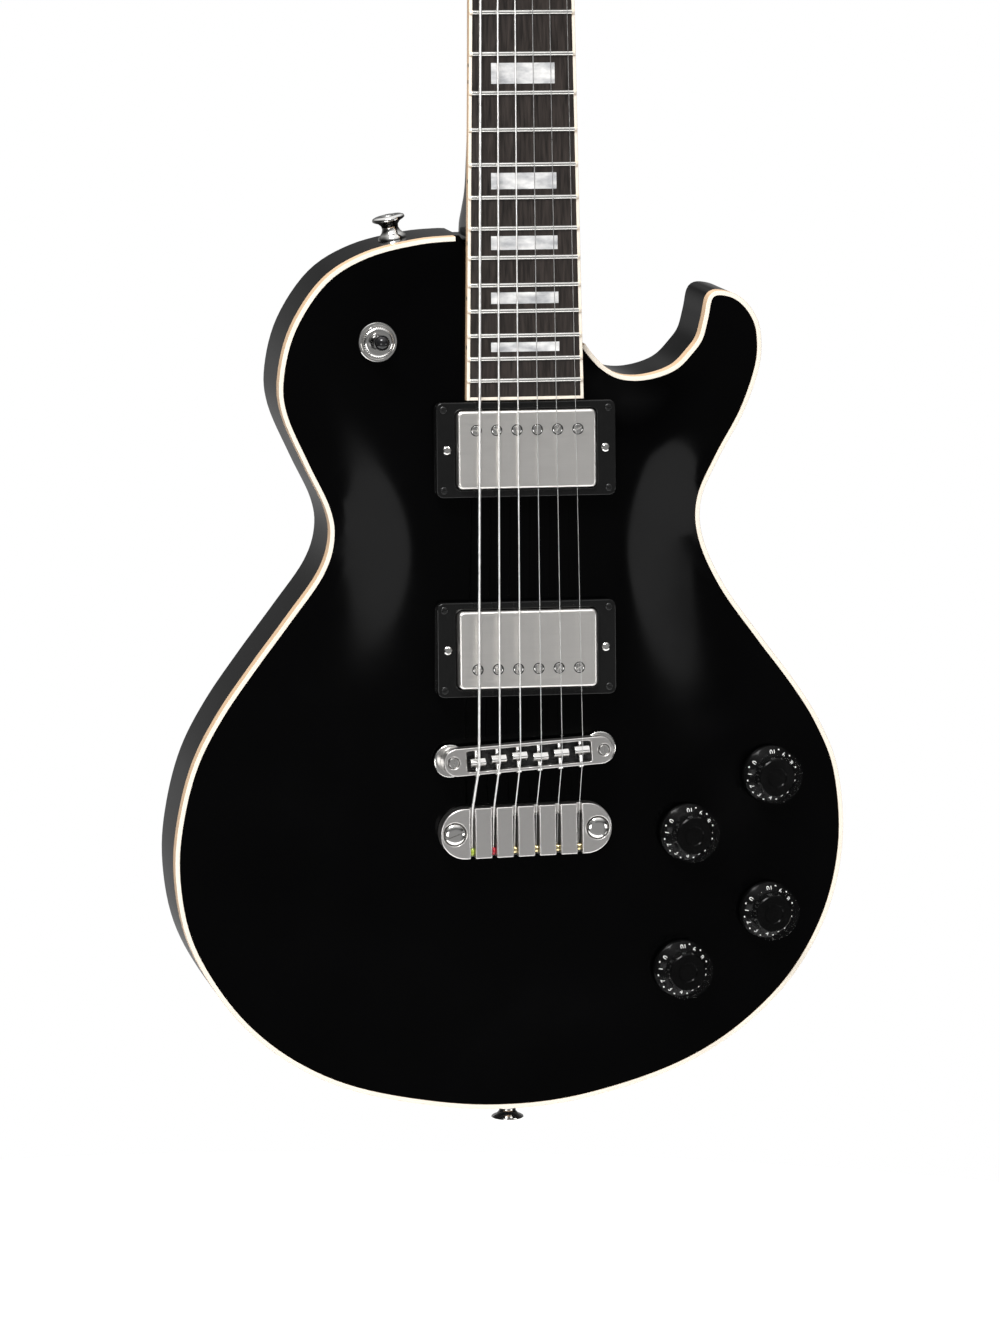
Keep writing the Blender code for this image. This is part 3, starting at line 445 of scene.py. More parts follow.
def binding_material():
    """Cream on faces that look to the front; a deeper tan down its side is painted shade."""
    material = surface("binding_cream_side_painted_shade", (0.94, 0.86, 0.74), 0.32, scale=60, tint=0.05, bump=0.02)
    nodes, link = material.node_tree.nodes, material.node_tree.links.new
    shader = nodes["Principled BSDF"]
    ramp = shader.inputs["Base Color"].links[0].from_node
    geometry_node = nodes.new("ShaderNodeNewGeometry")
    split = nodes.new("ShaderNodeSeparateXYZ")
    front = nodes.new("ShaderNodeMapRange")
    set_inputs(front, {"From Min": -0.9, "From Max": -0.3})
    blend = nodes.new("ShaderNodeMix")
    blend.data_type = "RGBA"
    side_painted_shade, front_colour = blend.inputs[7], blend.inputs[6]
    # Deeper tan on faces turned to the side: painted shade, chosen by which way the face looks.
    side_painted_shade.default_value = (0.76, 0.52, 0.32, 1.0)
    link(geometry_node.outputs["Normal"], split.inputs["Vector"])
    link(split.outputs["Y"], front.inputs["Value"])
    link(front.outputs["Result"], blend.inputs[0])
    link(ramp.outputs["Color"], front_colour)
    link(blend.outputs[2], shader.inputs["Base Color"])
    return material


def wound_material():
    """Wire wrapped round a core: fine rings across the string's length."""
    material = surface("string_wound", (0.97, 0.96, 0.94), 0.42, 1.0, scale=500, bump=0.0)
    nodes, link = material.node_tree.nodes, material.node_tree.links.new
    shader = nodes["Principled BSDF"]
    where = nodes["Texture Coordinate"]
    wave = nodes.new("ShaderNodeTexWave")
    wave.bands_direction = "Z"
    wave.inputs["Scale"].default_value = 1000.0
    relief = shader.inputs["Normal"].links[0].from_node
    relief.inputs["Strength"].default_value = 0.35
    link(where.outputs["Object"], wave.inputs["Vector"])
    link(wave.outputs["Fac"], relief.inputs["Height"])
    return material


def clear_material():
    """Acrylic so clear that only its gloss shows."""
    material = surface("knob_acrylic", (0.02, 0.02, 0.02), 0.05, scale=80, bump=0.0, specular=0.3)
    material.node_tree.nodes["Principled BSDF"].inputs["Alpha"].default_value = 0.07
    return material


def paint_material():
    """White print behind acrylic, with a painted glow (emission) so that it looks a little lit."""
    material = surface("numeral_white_painted_glow", (0.92, 0.92, 0.9), 0.5, scale=900, tint=0.08)
    shader = material.node_tree.nodes["Principled BSDF"]
    # Painted glow: emission stands in for light that reaches the print through the acrylic.
    set_inputs(shader, {"Emission Color": (1.0, 1.0, 0.98, 1.0), "Emission Strength": 0.3})
    return material


LACQUER = surface(
    "body_lacquer", (0.0008, 0.0008, 0.0009), 0.12, scale=25, tint=0.3, wear=0.3, bump=0.003,
    specular=0.06,
)
NECK_LACQUER = surface(
    "neck_lacquer_gloss", (0.002, 0.0018, 0.0018), 0.12, scale=40, stretch=(1, 1, 0.1),
    tint=0.3, bump=0.02, specular=0.15,
)
BINDING = binding_material()
EBONY = surface(
    "fingerboard_wood", (0.03, 0.021, 0.017), 0.42, scale=900, stretch=(1, 1, 0.05),
    second=(0.008, 0.006, 0.005), bump=0.35,
)
BONE = surface("nut_bone_worn", (0.83, 0.79, 0.68), 0.35, scale=200, tint=0.1)
CHROME = surface("chrome_bright", (0.78, 0.77, 0.75), 0.08, 1.0, scale=120, tint=0.04, bump=0.01)
NICKEL = surface(
    "nickel_satin", (0.74, 0.72, 0.7), 0.3, 1.0, scale=700, tint=0.02, wear=0.05, bump=0.004
)
BRUSHED = surface(
    "cover_brushed", (0.9, 0.875, 0.84), 0.34, 1.0, scale=900, stretch=(0.1, 1, 1),
    tint=0.02, wear=0.06, bump=0.01,
)
STEEL = surface("steel_zinc", (0.5, 0.5, 0.49), 0.35, 1.0, scale=400, tint=0.15)
FRET_WIRE = surface("fret_silver", (0.86, 0.85, 0.82), 0.2, 1.0, scale=500, stretch=(0.1, 1, 1))
PLAIN_WIRE = surface("string_plain", (0.9, 0.9, 0.89), 0.36, 1.0, scale=300, bump=0.0)
WOUND_WIRE = wound_material()
PLASTIC = surface("plastic_black", (0.006, 0.006, 0.006), 0.16, scale=200, bump=0.03, specular=0.3)
DARK_SCREW = surface("screw_black", (0.05, 0.05, 0.05), 0.3, 0.9, scale=500)
KNOB_BLACK = surface(
    "knob_black", (0.002, 0.002, 0.002), 0.15, scale=200, bump=0.02, specular=0.12
)
TIP = surface("switch_tip_plastic", (0.012, 0.012, 0.013), 0.12, scale=200, bump=0.02)
PEARL = surface(
    "inlay_pearl", (0.9, 0.89, 0.87), 0.2, scale=110, stretch=(1, 1, 2.2),
    second=(0.38, 0.385, 0.4), bump=0.05,
)
PRINT_AND_GLOW = paint_material()
# Black of the side dots and pole gaps; also the painted shade in the bridge trough and slots.
DOT_AND_SHADE_BLACK = surface("side_dot_and_painted_shade_black", (0.01, 0.01, 0.01), 0.3, scale=500)
BRASS = surface("ball_brass", (0.8, 0.68, 0.38), 0.25, 1.0, scale=500)
BALL_GREEN = surface("ball_green", (0.5, 0.62, 0.08), 0.3, scale=500)
BALL_RED = surface("ball_red", (0.55, 0.02, 0.04), 0.3, scale=500)
CLEAR = clear_material()


# Pieces


def new_object(name, data):
    """An object with this data, linked to the scene."""
    made = bpy.data.objects.new(name, data)
    bpy.context.scene.collection.objects.link(made)
    return made


def add_mesh(name, shape, material):
    """A linked mesh object from (points, faces), with its normals facing out."""
    points, faces = shape
    mesh = bpy.data.meshes.new(name)
    mesh.from_pydata([place(point) for point in points], [], faces)
    edit = bmesh.new()
    edit.from_mesh(mesh)
    bmesh.ops.recalc_face_normals(edit, faces=edit.faces)
    edit.to_mesh(mesh)
    edit.free()
    mesh.materials.append(material)
    return new_object(name, mesh)


def carve(made, cutters):
    """Cuts closed shapes out of the piece in one exact Boolean."""
    group = bpy.data.collections.new("cutters")
    bpy.context.scene.collection.children.link(group)
    helpers = []
    for number, shape in enumerate(cutters):
        helper = add_mesh(f"cutter_{number}", shape, made.data.materials[0])
        bpy.context.scene.collection.objects.unlink(helper)
        group.objects.link(helper)
        helpers.append(helper)
    modifier = made.modifiers.new("cuts", "BOOLEAN")
    modifier.operand_type = "COLLECTION"
    modifier.collection = group
    modifier.solver = "EXACT"
    bpy.context.view_layer.update()
    shaped = made.evaluated_get(bpy.context.evaluated_depsgraph_get())
    carved = bpy.data.meshes.new_from_object(shaped)
    made.modifiers.remove(modifier)
    made.data = carved
    for helper in helpers:
        bpy.data.objects.remove(helper)
    bpy.data.collections.remove(group)


def round_edges(made, width, clamp=True):
    """Rounds a piece's edges, and keeps its flats flat in the shading."""
    if width:
        bevel = made.modifiers.new("bevel", "BEVEL")
        bevel.width = width * MM
        bevel.segments = 3
        bevel.limit_method = "ANGLE"
        bevel.angle_limit = math.radians(40)
        bevel.use_clamp_overlap = clamp
    normals = made.modifiers.new("normals", "WEIGHTED_NORMAL")
    normals.keep_sharp = True


def add_piece(
    name, shape, material, body="guitar", nodes=(), bevel=0.0, cutters=(), clamp=True
):
    """One visible piece that rides on a CAD body and may stand for CAD nodes."""
    made = add_mesh(name, shape, material)
    if cutters:
        carve(made, cutters)
    made.data.shade_smooth()
    made.data.set_sharp_from_angle(angle=math.radians(38))
    round_edges(made, bevel, clamp)
    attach(made, body)
    if nodes:
        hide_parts(*nodes)
    return made


def keep_node(name, material, bevel):
    """A CAD node that stays, with a better material and rounded edges."""
    node = frame["nodes"][name]
    node.data.materials.clear()
    node.data.materials.append(material)
    round_edges(node, bevel)


# Carved body


TOP_OUTLINE = spline(OUTLINE, 6) + [tuple(point) for point in NECK_SIDE]
CURVED_COUNT = len(TOP_OUTLINE) - len(NECK_SIDE)


def edge_distances(points):
    """Distance from each (x, z) point to the top's outline."""
    nearest = np.full(len(points), np.inf)
    for i, end in enumerate(TOP_OUTLINE):
        start = np.array(TOP_OUTLINE[i - 1])
        side = np.array(end) - start
        away = points - start
        share = np.clip(away @ side / (side @ side), 0.0, 1.0)
        nearest = np.minimum(nearest, np.linalg.norm(away - share[:, None] * side, axis=1))
    return nearest


def neck_plane(z):
    """Y of the flat under the fingerboard."""
    return FINGERBOARD_Y + z * math.tan(NECK_PITCH) - NECK_FACE / math.cos(NECK_PITCH)


def top_heights(points):
    """Y of the carved top at each (x, z): flat at the rim, full height along the ridge."""
    x, z = points[:, 0], points[:, 1]
    to_ridge = np.hypot(x, z - np.clip(z, *ARCH_RIDGE)) - ARCH_RIDGE_RADIUS
    to_edge = edge_distances(points)
    share = to_edge / (to_edge + np.maximum(0.0, to_ridge) + 0.001)
    rise = ARCH_HEIGHT * share**2 * (3 - 2 * share)
    return np.maximum(-rise, neck_plane(z))


def top_y(x, z):
    """Y of the carved top at one place."""
    return float(top_heights(np.array([[x, z]], float))[0])


def top_normal(x, z):
    """Unit vector out of the carved top."""
    step = 4.0
    slope_x = (top_y(x + step, z) - top_y(x - step, z)) / (2 * step)
    slope_z = (top_y(x, z + step) - top_y(x, z - step)) / (2 * step)
    return Vector((slope_x, -1.0, slope_z)).normalized()


def inside(outline, x, z):
    """Whether a point lies inside a closed outline."""
    crossings = 0
    for i, (x_b, z_b) in enumerate(outline):
        x_a, z_a = outline[i - 1]
        if (z_a > z) != (z_b > z) and x < x_a + (z - z_a) / (z_b - z_a) * (x_b - x_a):
            crossings += 1
    return crossings % 2 == 1


def body_shape():
    """The carved top as a fine net, then the rebate, the rim and the rounded back."""
    top = offset(TOP_OUTLINE, -GAP)
    count = len(top)
    columns, rows = math.ceil(170 / TOP_SPACING), math.ceil(250 / TOP_SPACING)
    net = [
        (column * TOP_SPACING + (row % 2) * TOP_SPACING / 2, row * TOP_SPACING)
        for column in range(-columns, columns)
        for row in range(-rows, rows)
    ]
    net = [point for point in net if inside(top, *point)]
    far = edge_distances(np.array(net)) > 0.6 * TOP_SPACING
    net = [point for point, keep in zip(net, far) if keep]
    loop = [(i, (i + 1) % count) for i in range(count)]
    flat, _, faces, origin, _, _ = geometry.delaunay_2d_cdt(
        [Vector(point) for point in top + net], loop, [], 1, 0.001
    )
    heights = smoothed_heights(np.array(flat), [tuple(face) for face in faces], count)
    points = [Vector((x, y, z)) for (x, z), y in zip(flat, heights)]
    new_index = {ids[0]: i for i, ids in enumerate(origin) if ids}
    rings = [[new_index[i] for i in range(count)]]
    levels = [(-GAP, BINDING_HEIGHT + GAP), (BINDING_WIDTH, BINDING_HEIGHT + GAP)]
    for step in range(7):
        angle = math.pi / 2 * step / 6
        inset = BACK_EDGE_RADIUS * (1 - math.cos(angle))
        y = BODY_DEPTH - BACK_EDGE_RADIUS * (1 - math.sin(angle))
        levels.append((BINDING_WIDTH - inset, y))
    for distance, y in levels:
        rings.append(list(range(len(points), len(points) + count)))
        points += [Vector((x, y, z)) for x, z in offset(TOP_OUTLINE, distance)]
    faces = [tuple(face) for face in faces]
    for upper, lower in zip(rings, rings[1:]):
        for i in range(count):
            j = (i + 1) % count
            faces.append((upper[i], upper[j], lower[j], lower[i]))
    faces.append(tuple(rings[-1]))
    return points, faces


def smoothed_heights(flat, faces, count):
    """The top's heights, evened out over the net so that reflections run smoothly."""
    heights = top_heights(flat)
    heights[:count] = 0.0
    edges = np.array([(a, b) for face in faces for a, b in zip(face, face[1:] + face[:1])])
    degree = np.bincount(edges.ravel(), minlength=len(flat))
    for _ in range(30):
        total = np.bincount(edges[:, 0], heights[edges[:, 1]], len(flat))
        total += np.bincount(edges[:, 1], heights[edges[:, 0]], len(flat))
        heights[count:] = (0.5 * heights + 0.5 * total / degree)[count:]
    return np.maximum(heights, neck_plane(flat[:, 1]))


def rim_point(near):
    """The point of the rim nearest a place, at half depth, and the unit vector out of it."""
    rim = offset(TOP_OUTLINE, BINDING_WIDTH)
    best = (math.inf, None, None)
    for i, end in enumerate(rim):
        start = Vector(rim[i - 1])
        side = Vector(end) - start
        share = max(0.0, min(1.0, (Vector(near) - start).dot(side) / side.length_squared))
        point = start + side * share
        best = min(best, ((point - Vector(near)).length, point.to_tuple(), side.to_tuple()))
    _, (x, z), (along_x, along_z) = best
    return Vector((x, BODY_DEPTH / 2, z)), Vector((along_z, 0, -along_x)).normalized()


def knob_frame(name):
    """Where a knob's axis leaves the top, and the axis itself, from its joint."""
    joint = JOINTS[name]
    return from_scene(joint["pos_m"]), Vector(joint["axis"])


def at_back(point, out):
    """(x, z) where a line through the point along the normal meets the back."""
    reach = (BODY_DEPTH - point.y) / -out.y
    return (point.x - out.x * reach, point.z - out.z * reach)


def straight(x, h, z):
    """The body frame itself, with h measured towards the back."""
    return Vector((x, h, z))


def body_cutters():
    """Neck pocket, pickup cavities, shaft holes, switch hole, cover recesses, jack seat."""
    cutters = [prism(box(-20.4, 20.4, 175.7, 270), 0, -36.8, on_neck)]
    for d, _, _, _ in PICKUPS.values():
        cutters.append(prism(box(-36.5, 36.5, d - 20.0, d + 20.0), -30, 16, on_neck))
    knobs = [knob_frame(name) for name in KNOBS]
    for point, out in knobs:
        cutters.append(turned([(5.0, -24), (5.0, 10)], facing(point, out), 20))
    recess = around([at_back(point, out) for point, out in knobs], 21.3)
    cutters.append(prism(recess, BODY_DEPTH - COVER_THICKNESS - GAP, 60, straight))
    point, out = switch_frame()
    cutters.append(turned([(6.8, -30), (6.8, 10)], facing(point, out), 24))
    back_x, back_z = at_back(point, out)
    back = facing((back_x, BODY_DEPTH - COVER_THICKNESS - GAP, back_z), (0, 1, 0))
    cutters.append(turned([(26.3, 0), (26.3, 20)], back, 64))
    point, out = rim_point(JACK_NEAR)
    seat = rounded_box(JACK_PLATE + 1, JACK_PLATE + 1, 3)
    cutters.append(prism(seat, 1.6, -10, beside_rim(point, out)))
    return cutters


def beside_rim(point, out):
    """A frame on the rim: x along it, h into the body, z towards the back."""
    along = Vector((0, 1, 0)).cross(out)
    return lambda x, h, z: point + along * x - out * h + Vector((0, z, 0))


def switch_frame():
    """Where the switch's axis leaves the top, and the axis itself."""
    x, z = SWITCH_PLACE
    return Vector((x, top_y(x, z), z)), top_normal(x, z)


def add_body():
    """The carved body with its pockets, and the binding round its front edge."""
    add_piece(
        "body_carved", body_shape(), LACQUER, nodes=["body"],
        cutters=body_cutters(),
    )
    outline = TOP_OUTLINE[:CURVED_COUNT][1:-1]
    outer = offset(TOP_OUTLINE, BINDING_WIDTH)[:CURVED_COUNT][1:-1]
    rings = []
    for start, end in zip(outline, outer):
        start, end = Vector(start), Vector(end)
        ring = []
        for share, y in BINDING_SECTION:
            x, z = start + (end - start) * share
            ring.append(Vector((x, y, z)))
        rings.append(ring)
    add_piece("binding_body", loft(rings), BINDING, nodes=["body_binding"])


# Neck, fingerboard and headstock


def half_width(d):
    """Half the fingerboard's width at distance d from the saddle line."""
    share = (SCALE_LENGTH - d) / (SCALE_LENGTH - FINGERBOARD_END)
    return FINGERBOARD_HALF_AT_NUT + share * (FINGERBOARD_HALF_AT_END - FINGERBOARD_HALF_AT_NUT)


def crown(x):
    """Height of the fingerboard's arched face at x."""
    return -(x**2) / (2 * CROWN_RADIUS)


def round_back(half, depth, power, steps=36):
    """(x, depth) points from the treble edge round the back to the bass edge."""
    points = []
    for step in range(steps + 1):
        angle = math.pi * step / steps
        cosine = math.cos(angle)
        x = half * math.copysign(abs(cosine) ** (2 / power), cosine)
        points.append((x, depth * math.sin(angle) ** (2 / power)))
    return points


def add_neck():
    """Tenon, heel, neck and headstock as one loft, with the rod's pocket and tuner holes."""
    heel = BODY_TOP_END + 1.5
    rings = []
    for d in (176.2, heel):
        level = math.tan(NECK_PITCH) * (d == heel)
        rings.append(
            [on_neck(x, NECK_FACE - y, d + y * level) for x, y in round_back(20, 30, 9)]
        )
    heel_sections = ((heel + 1.2, 27.0, 44.0, 4.0, 1.0), (251, 27.2, 42.5, 3.6, 1.0),
                     (259, 27.2, 36.0, 3.0, 0.6), (268, 27.0, 26.5, 2.6, 0.2),
                     (279, 26.8, 20.5, 2.4, 0.0), (300, 26.2, 18.4, 2.2, 0.0))
    neck_sections = tuple((d, half_width(d) - 0.3, depth, 2.2, 0.0)
                          for d, depth in ((360, 17.8), (420, 17.2), (490, 16.4), (560, 15.6)))
    nut_sections = ((618, 21.3, 15.0, 2.3, 0.0), (HEAD_START - 2, 21.4, 15.2, 2.8, 0.0))
    for d, half, depth, power, lean in spline(heel_sections + neck_sections + nut_sections, 5):
        level = math.tan(NECK_PITCH) * lean
        rings.append(
            [on_neck(x, NECK_FACE - y, d + y * level) for x, y in round_back(half, depth, power)]
        )
    head_sections = ((8, 22.4, 4.5), (16, 26.0, 7), (26, 32.5, 10), (36, 36.0, 12),
                     (48, 36.8, 12), (80, 36.0, 12), (110, 35.0, 12), (140, 34.0, 12),
                     (160, 33.0, 12), (171, 31.0, 12), (179, 25.0, 12), (184, 14.0, 12),
                     (185.5, 6.0, 12))
    for e, half, power in spline(head_sections, 5):
        back = round_back(half, HEAD_THICKNESS, power)
        rings.append([on_head(x, -y, e) for x, y in back])
    pocket = prism(rounded_box(11, 22, 3, (0, 13)), 4, -8.5, on_head)
    holes = [
        turned([(4.75, -HEAD_THICKNESS - 5), (4.75, 5)], facing(on_head(x, 0, e), HEAD_OUT), 24)
        for x, e in tuner_places()
    ]
    add_piece(
        "neck_shaped", loft(rings), NECK_LACQUER, nodes=["neck"],
        cutters=[pocket, *holes],
    )


def tuner_places():
    """(x, e) of the posts of strings 1 to 6: treble side first, from the nut up and back."""
    return list(TUNER_PLACES) + [(-x, e) for x, e in reversed(TUNER_PLACES)]


def arched(low_x, high_x, d, top, bottom, steps=16):
    """A ring across the fingerboard whose face follows the crown."""
    face = [low_x + (high_x - low_x) * step / steps for step in range(steps + 1)]
    ring = [on_neck(x, crown(x) + top, d) for x in face]
    return ring + [on_neck(x, crown(x) * (bottom > -5) + bottom, d) for x in reversed(face)]


def fret_place(number):
    """Distance of a fret from the saddle line."""
    return SCALE_LENGTH / 2 ** (number / 12)


def add_fingerboard():
    """The board, its binding, frets, binding nibs, pearl blocks and side dots."""
    rings = []
    for d in (FINGERBOARD_END + FINGERBOARD_BINDING, SCALE_LENGTH):
        half = half_width(d) - FINGERBOARD_BINDING
        rings.append(arched(-half, half, d, 0.0, -FINGERBOARD_THICKNESS))
    add_piece("board", loft(rings), EBONY, nodes=["fingerboard"])

    strips = []
    for side in (-1, 1):
        rings = []
        for d in (FINGERBOARD_END, SCALE_LENGTH):
            outer = side * half_width(d)
            inner = outer - side * FINGERBOARD_BINDING
            rings.append(arched(inner, outer, d, 0.02, -FINGERBOARD_THICKNESS, 2))
        strips.append(loft(rings))
    end = half_width(FINGERBOARD_END) - FINGERBOARD_BINDING
    edges = (FINGERBOARD_END, FINGERBOARD_END + FINGERBOARD_BINDING)
    strips.append(loft([arched(-end, end, d, 0.02, -FINGERBOARD_THICKNESS) for d in edges]))
    add_piece(
        "binding_board", merge(strips), BINDING, nodes=["fingerboard_binding"],
        bevel=0.25,
    )

    wires, nibs, blocks = [], [], []
    arc = [math.pi * step / 8 for step in range(9)]
    for number in range(1, FRETS + 1):
        d = fret_place(number)
        half = half_width(d) - FINGERBOARD_BINDING
        sections = []
        for x in [half * (step / 8 - 1) for step in range(17)]:
            ring = [(FRET_WIDTH / 2 * math.cos(a), FRET_HEIGHT * math.sin(a)) for a in arc]
            ring = [on_neck(x, crown(x) + rise, d + along) for along, rise in ring]
            sections.append(ring)
        wires.append(loft(sections))
        for side in (-1, 1):
            sections = []
            for x, height in ((half, FRET_HEIGHT), (half + 1.0, 0.8), (half + 1.5, 0.3)):
                ring = [(FRET_WIDTH / 2 * math.cos(a), height * math.sin(a)) for a in arc]
                sections.append(
                    [on_neck(side * x, crown(x) + rise, d + along) for along, rise in ring]
                )
            nibs.append(loft(sections))
        if number in BLOCK_FRETS:
            space = fret_place(number - 1) - d
            tall, middle = 0.72 * space - 3.5, d + space / 2
            wide = 0.59 * half_width(middle)
            rings = [
                arched(-wide, wide, along, 0.05, -0.4, 12)
                for along in (middle - tall / 2, middle + tall / 2)
            ]
            blocks.append(loft(rings))
    add_piece("frets", merge(wires), FRET_WIRE)
    add_piece("binding_nibs", merge(nibs), BINDING)
    add_piece("inlay_blocks", merge(blocks), PEARL)

    dots = []
    for number in BLOCK_FRETS[1:]:
        d = (fret_place(number - 1) + fret_place(number)) / 2
        places = (d - 4, d + 4) if number == 12 else (d,)
        for along in places:
            out = on_neck(-1, 0, 0) - on_neck(0, 0, 0)
            base = on_neck(-half_width(along), -2.6, along)
            dots.append(turned([(1.1, -0.5), (1.1, 0.02), (0.7, 0.12)], facing(base, out), 20))
    add_piece("side_dots", merge(dots), DOT_AND_SHADE_BLACK)


def add_nut():
    """Bone with a rounded top and a groove under each string."""
    top = STRING_HEIGHT_AT_NUT - 0.3
    crest = [(-21.5, top - 1.6), (-20.6, top - 0.5)]
    for number in range(6, 0, -1):
        x = string_x(number, STRING_SPAN_AT_NUT)
        reach = STRING_DIAMETERS[number - 1] / 2 + 0.25
        depth = top - (STRING_HEIGHT_AT_NUT - STRING_DIAMETERS[number - 1] / 2 - 0.3)
        crest += [(x - reach, top), (x - reach * 0.6, top - depth), (x + reach * 0.6, top - depth)]
        crest += [(x + reach, top)]
    crest += [(20.6, top - 0.5), (21.5, top - 1.6)]
    outline = crest + [(21.5, NECK_FACE + GAP), (-21.5, NECK_FACE + GAP)]
    edges = (SCALE_LENGTH + 0.3, SCALE_LENGTH + NUT_THICKNESS)
    rings = [[on_neck(x, h, d) for x, h in outline] for d in edges]
    add_piece("nut_slotted", loft(rings), BONE, nodes=["nut"], bevel=0.15)


def string_x(number, span):
    """Strings 1 to 6 run from the treble side to the bass side."""
    return span / 2 - (number - 1) * span / 5


def edge_reach(e):
    """Half the headstock's width beside a tuner, plus a little room."""
    return 36.8 - (e - 48) * 0.029 + 3.2


def add_tuner(number, x, e):
    """Case with bushing and washer, its screw, the post and the button with its worm."""
    side = math.copysign(1, x)
    back = -HEAD_THICKNESS - GAP
    gear = back - 5.2
    worm_e = e + WORM_OFFSET
    rings = []
    for inset, h in ((0, back), (0, back - 7.6), (0.5, back - 8.8), (1.8, back - 9.4)):
        outline = rounded_box(13 - inset, 19 - inset, 2.2, (x, e + 2.6))
        rings.append([on_head(a, h, b) for a, b in outline])
    front = facing(on_head(x, 0, e), HEAD_OUT)
    bush = [(3.2, back), (4.3, back), (4.3, 0.3), (5.5, 0.3), (5.5, 1.6), (5.0, 2.6), (4.2, 3.3)]
    bush.append((3.2, 3.3))
    washer = [(3.2, 0.05), (6.6, 0.05), (6.6, 0.5), (6.0, 0.8), (3.2, 0.8)]
    worm = facing(on_head(x, gear, worm_e), (side, 0, 0))
    collar = [(1.9, 6.4), (2.8, 6.4), (2.8, 9.6), (2.3, 10.2), (1.9, 10.2)]
    shell = merge([
        loft(rings), turned(bush, front, 40, True), turned(washer, front, 40, True),
        turned(collar, worm, 24, True),
    ])
    bore = turned([(POST_RADIUS + 0.25, back - 5), (POST_RADIUS + 0.25, 4)], front, 24)
    name = f"tuner_housing_{number}"
    add_piece(
        f"tuner_case_{number}", shell, CHROME, nodes=[name], cutters=[bore]
    )
    screw_at = facing(on_head(x, back - 9.4, e + 2.6), -HEAD_OUT)
    screw = slotted([(1.7, -0.3), (1.7, 0.3), (1.2, 0.6)], 0.5, 0.5, screw_at)
    add_piece(f"tuner_screw_{number}", screw, CHROME)

    post = [(4.4, -2.6), (4.4, 2.0), (POST_RADIUS, 2.0), (POST_RADIUS, 24.6), (2.5, 25.2)]
    post += [(2.3, 26.8), (2.5, 28.2), (POST_RADIUS, 29.0), (POST_RADIUS, 30.3), (2.3, 30.9)]
    post_frame = facing(on_head(x, gear, e), HEAD_OUT)
    hole = turned([(0.8, -5), (0.8, 5)], facing(on_head(x, gear + 26.8, e), (0, 1, -3)), 16)
    add_piece(
        f"tuner_shaft_{number}", turned(post, post_frame, 40), CHROME,
        f"tuner_post_{number}", [f"tuner_post_{number}"], cutters=[hole],
    )

    profile = ((-4.6, 1.2, 1.2), (-4.6, 2.2, 2.2), (4.6, 2.2, 2.2), (4.6, 1.6, 1.6),
               (11.0, 1.6, 1.6), (11.2, 2.6, 2.6), (13.0, 2.8, 2.8), (14.5, 5.5, 3.2),
               (17.0, 8.4, 3.9), (21.0, 9.6, 4.3), (25.5, 8.6, 4.0), (28.5, 5.6, 3.0),
               (29.3, 4.0, 2.2), (29.6, 1.8, 1.0))
    reach = abs(edge_reach(e)) - abs(x) - 12.0
    straight_part, head = profile[:6], spline(profile[6:], 4)
    rings = []
    for out, across, thick in (*straight_part, *head):
        shift = out if out < 10 else out + reach
        angles = [2 * math.pi * i / 32 for i in range(32)]
        rings.append([worm(-thick * math.cos(a), across * math.sin(a), shift) for a in angles])
    add_piece(
        f"tuner_key_{number}", loft(rings), CHROME, f"tuner_button_{number}",
        [f"tuner_button_{number}"],
    )


def saddle_point(number):
    """(x, d) of a saddle in the bridge's frame."""
    return string_x(number, STRING_SPAN_AT_SADDLE), SADDLE_STAGGER[number - 1]


def add_string(number):
    """Tailpiece, saddle, nut and the turns round the post, as one wire."""
    radius = STRING_DIAMETERS[number - 1] / 2
    tail_x = string_x(number, STRING_SPAN_AT_TAILPIECE)
    route = [on_tailpiece(tail_x, -4.2, -9.0), on_tailpiece(tail_x, -2.2, 6.0)]
    route.append(on_tailpiece(tail_x, -0.4, 12.6))
    x, d = saddle_point(number)
    for step in (-0.9, -0.45, 0.0, 0.9):
        height = STRING_HEIGHT_AT_SADDLE - 0.28 * max(0.0, -step)
        route.append(on_bridge(x, height, d + step))
    nut_x = string_x(number, STRING_SPAN_AT_NUT)
    route.append(on_neck(nut_x, STRING_HEIGHT_AT_NUT, SCALE_LENGTH))
    route.append(on_neck(nut_x, STRING_HEIGHT_AT_NUT - 0.1, SCALE_LENGTH + NUT_THICKNESS))
    post_x, post_e = tuner_places()[number - 1]
    side = math.copysign(1, post_x)
    wrap = POST_RADIUS + radius
    pitch = 2 * radius + 0.1
    for step in range(int(STRING_TURNS * STEPS_PER_TURN)):
        angle = 2 * math.pi * step / STEPS_PER_TURN
        across, along = math.cos(angle) * wrap, math.sin(angle) * wrap
        height = 6.9 - pitch * step / STEPS_PER_TURN
        route.append(on_head(post_x - side * across, height, post_e + along))
    curve = bpy.data.curves.new(f"wire_{number}", "CURVE")
    curve.dimensions = "3D"
    curve.bevel_depth = radius * MM
    curve.bevel_resolution = 2
    curve.use_fill_caps = True
    path = curve.splines.new("POLY")
    path.points.add(len(route) - 1)
    for point, position in zip(path.points, route):
        point.co = (*place(position), 1.0)
    curve.materials.append(WOUND_WIRE if number > 3 else PLAIN_WIRE)
    wire = new_object(f"wire_{number}", curve)
    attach(wire, "guitar")
    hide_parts(f"string_{number}")
    ball = facing(on_tailpiece(tail_x, -4.2, -9.6), (1, 0, 0))
    profile = [(0.5, -0.85), (1.5, -0.95), (1.9, -0.6), (1.9, 0.6), (1.5, 0.95), (0.5, 0.85)]
    material = {6: BALL_GREEN, 5: BALL_RED}.get(number, BRASS)
    add_piece(f"ball_end_{number}", turned(profile, ball, 24, True), material)


# Hardware


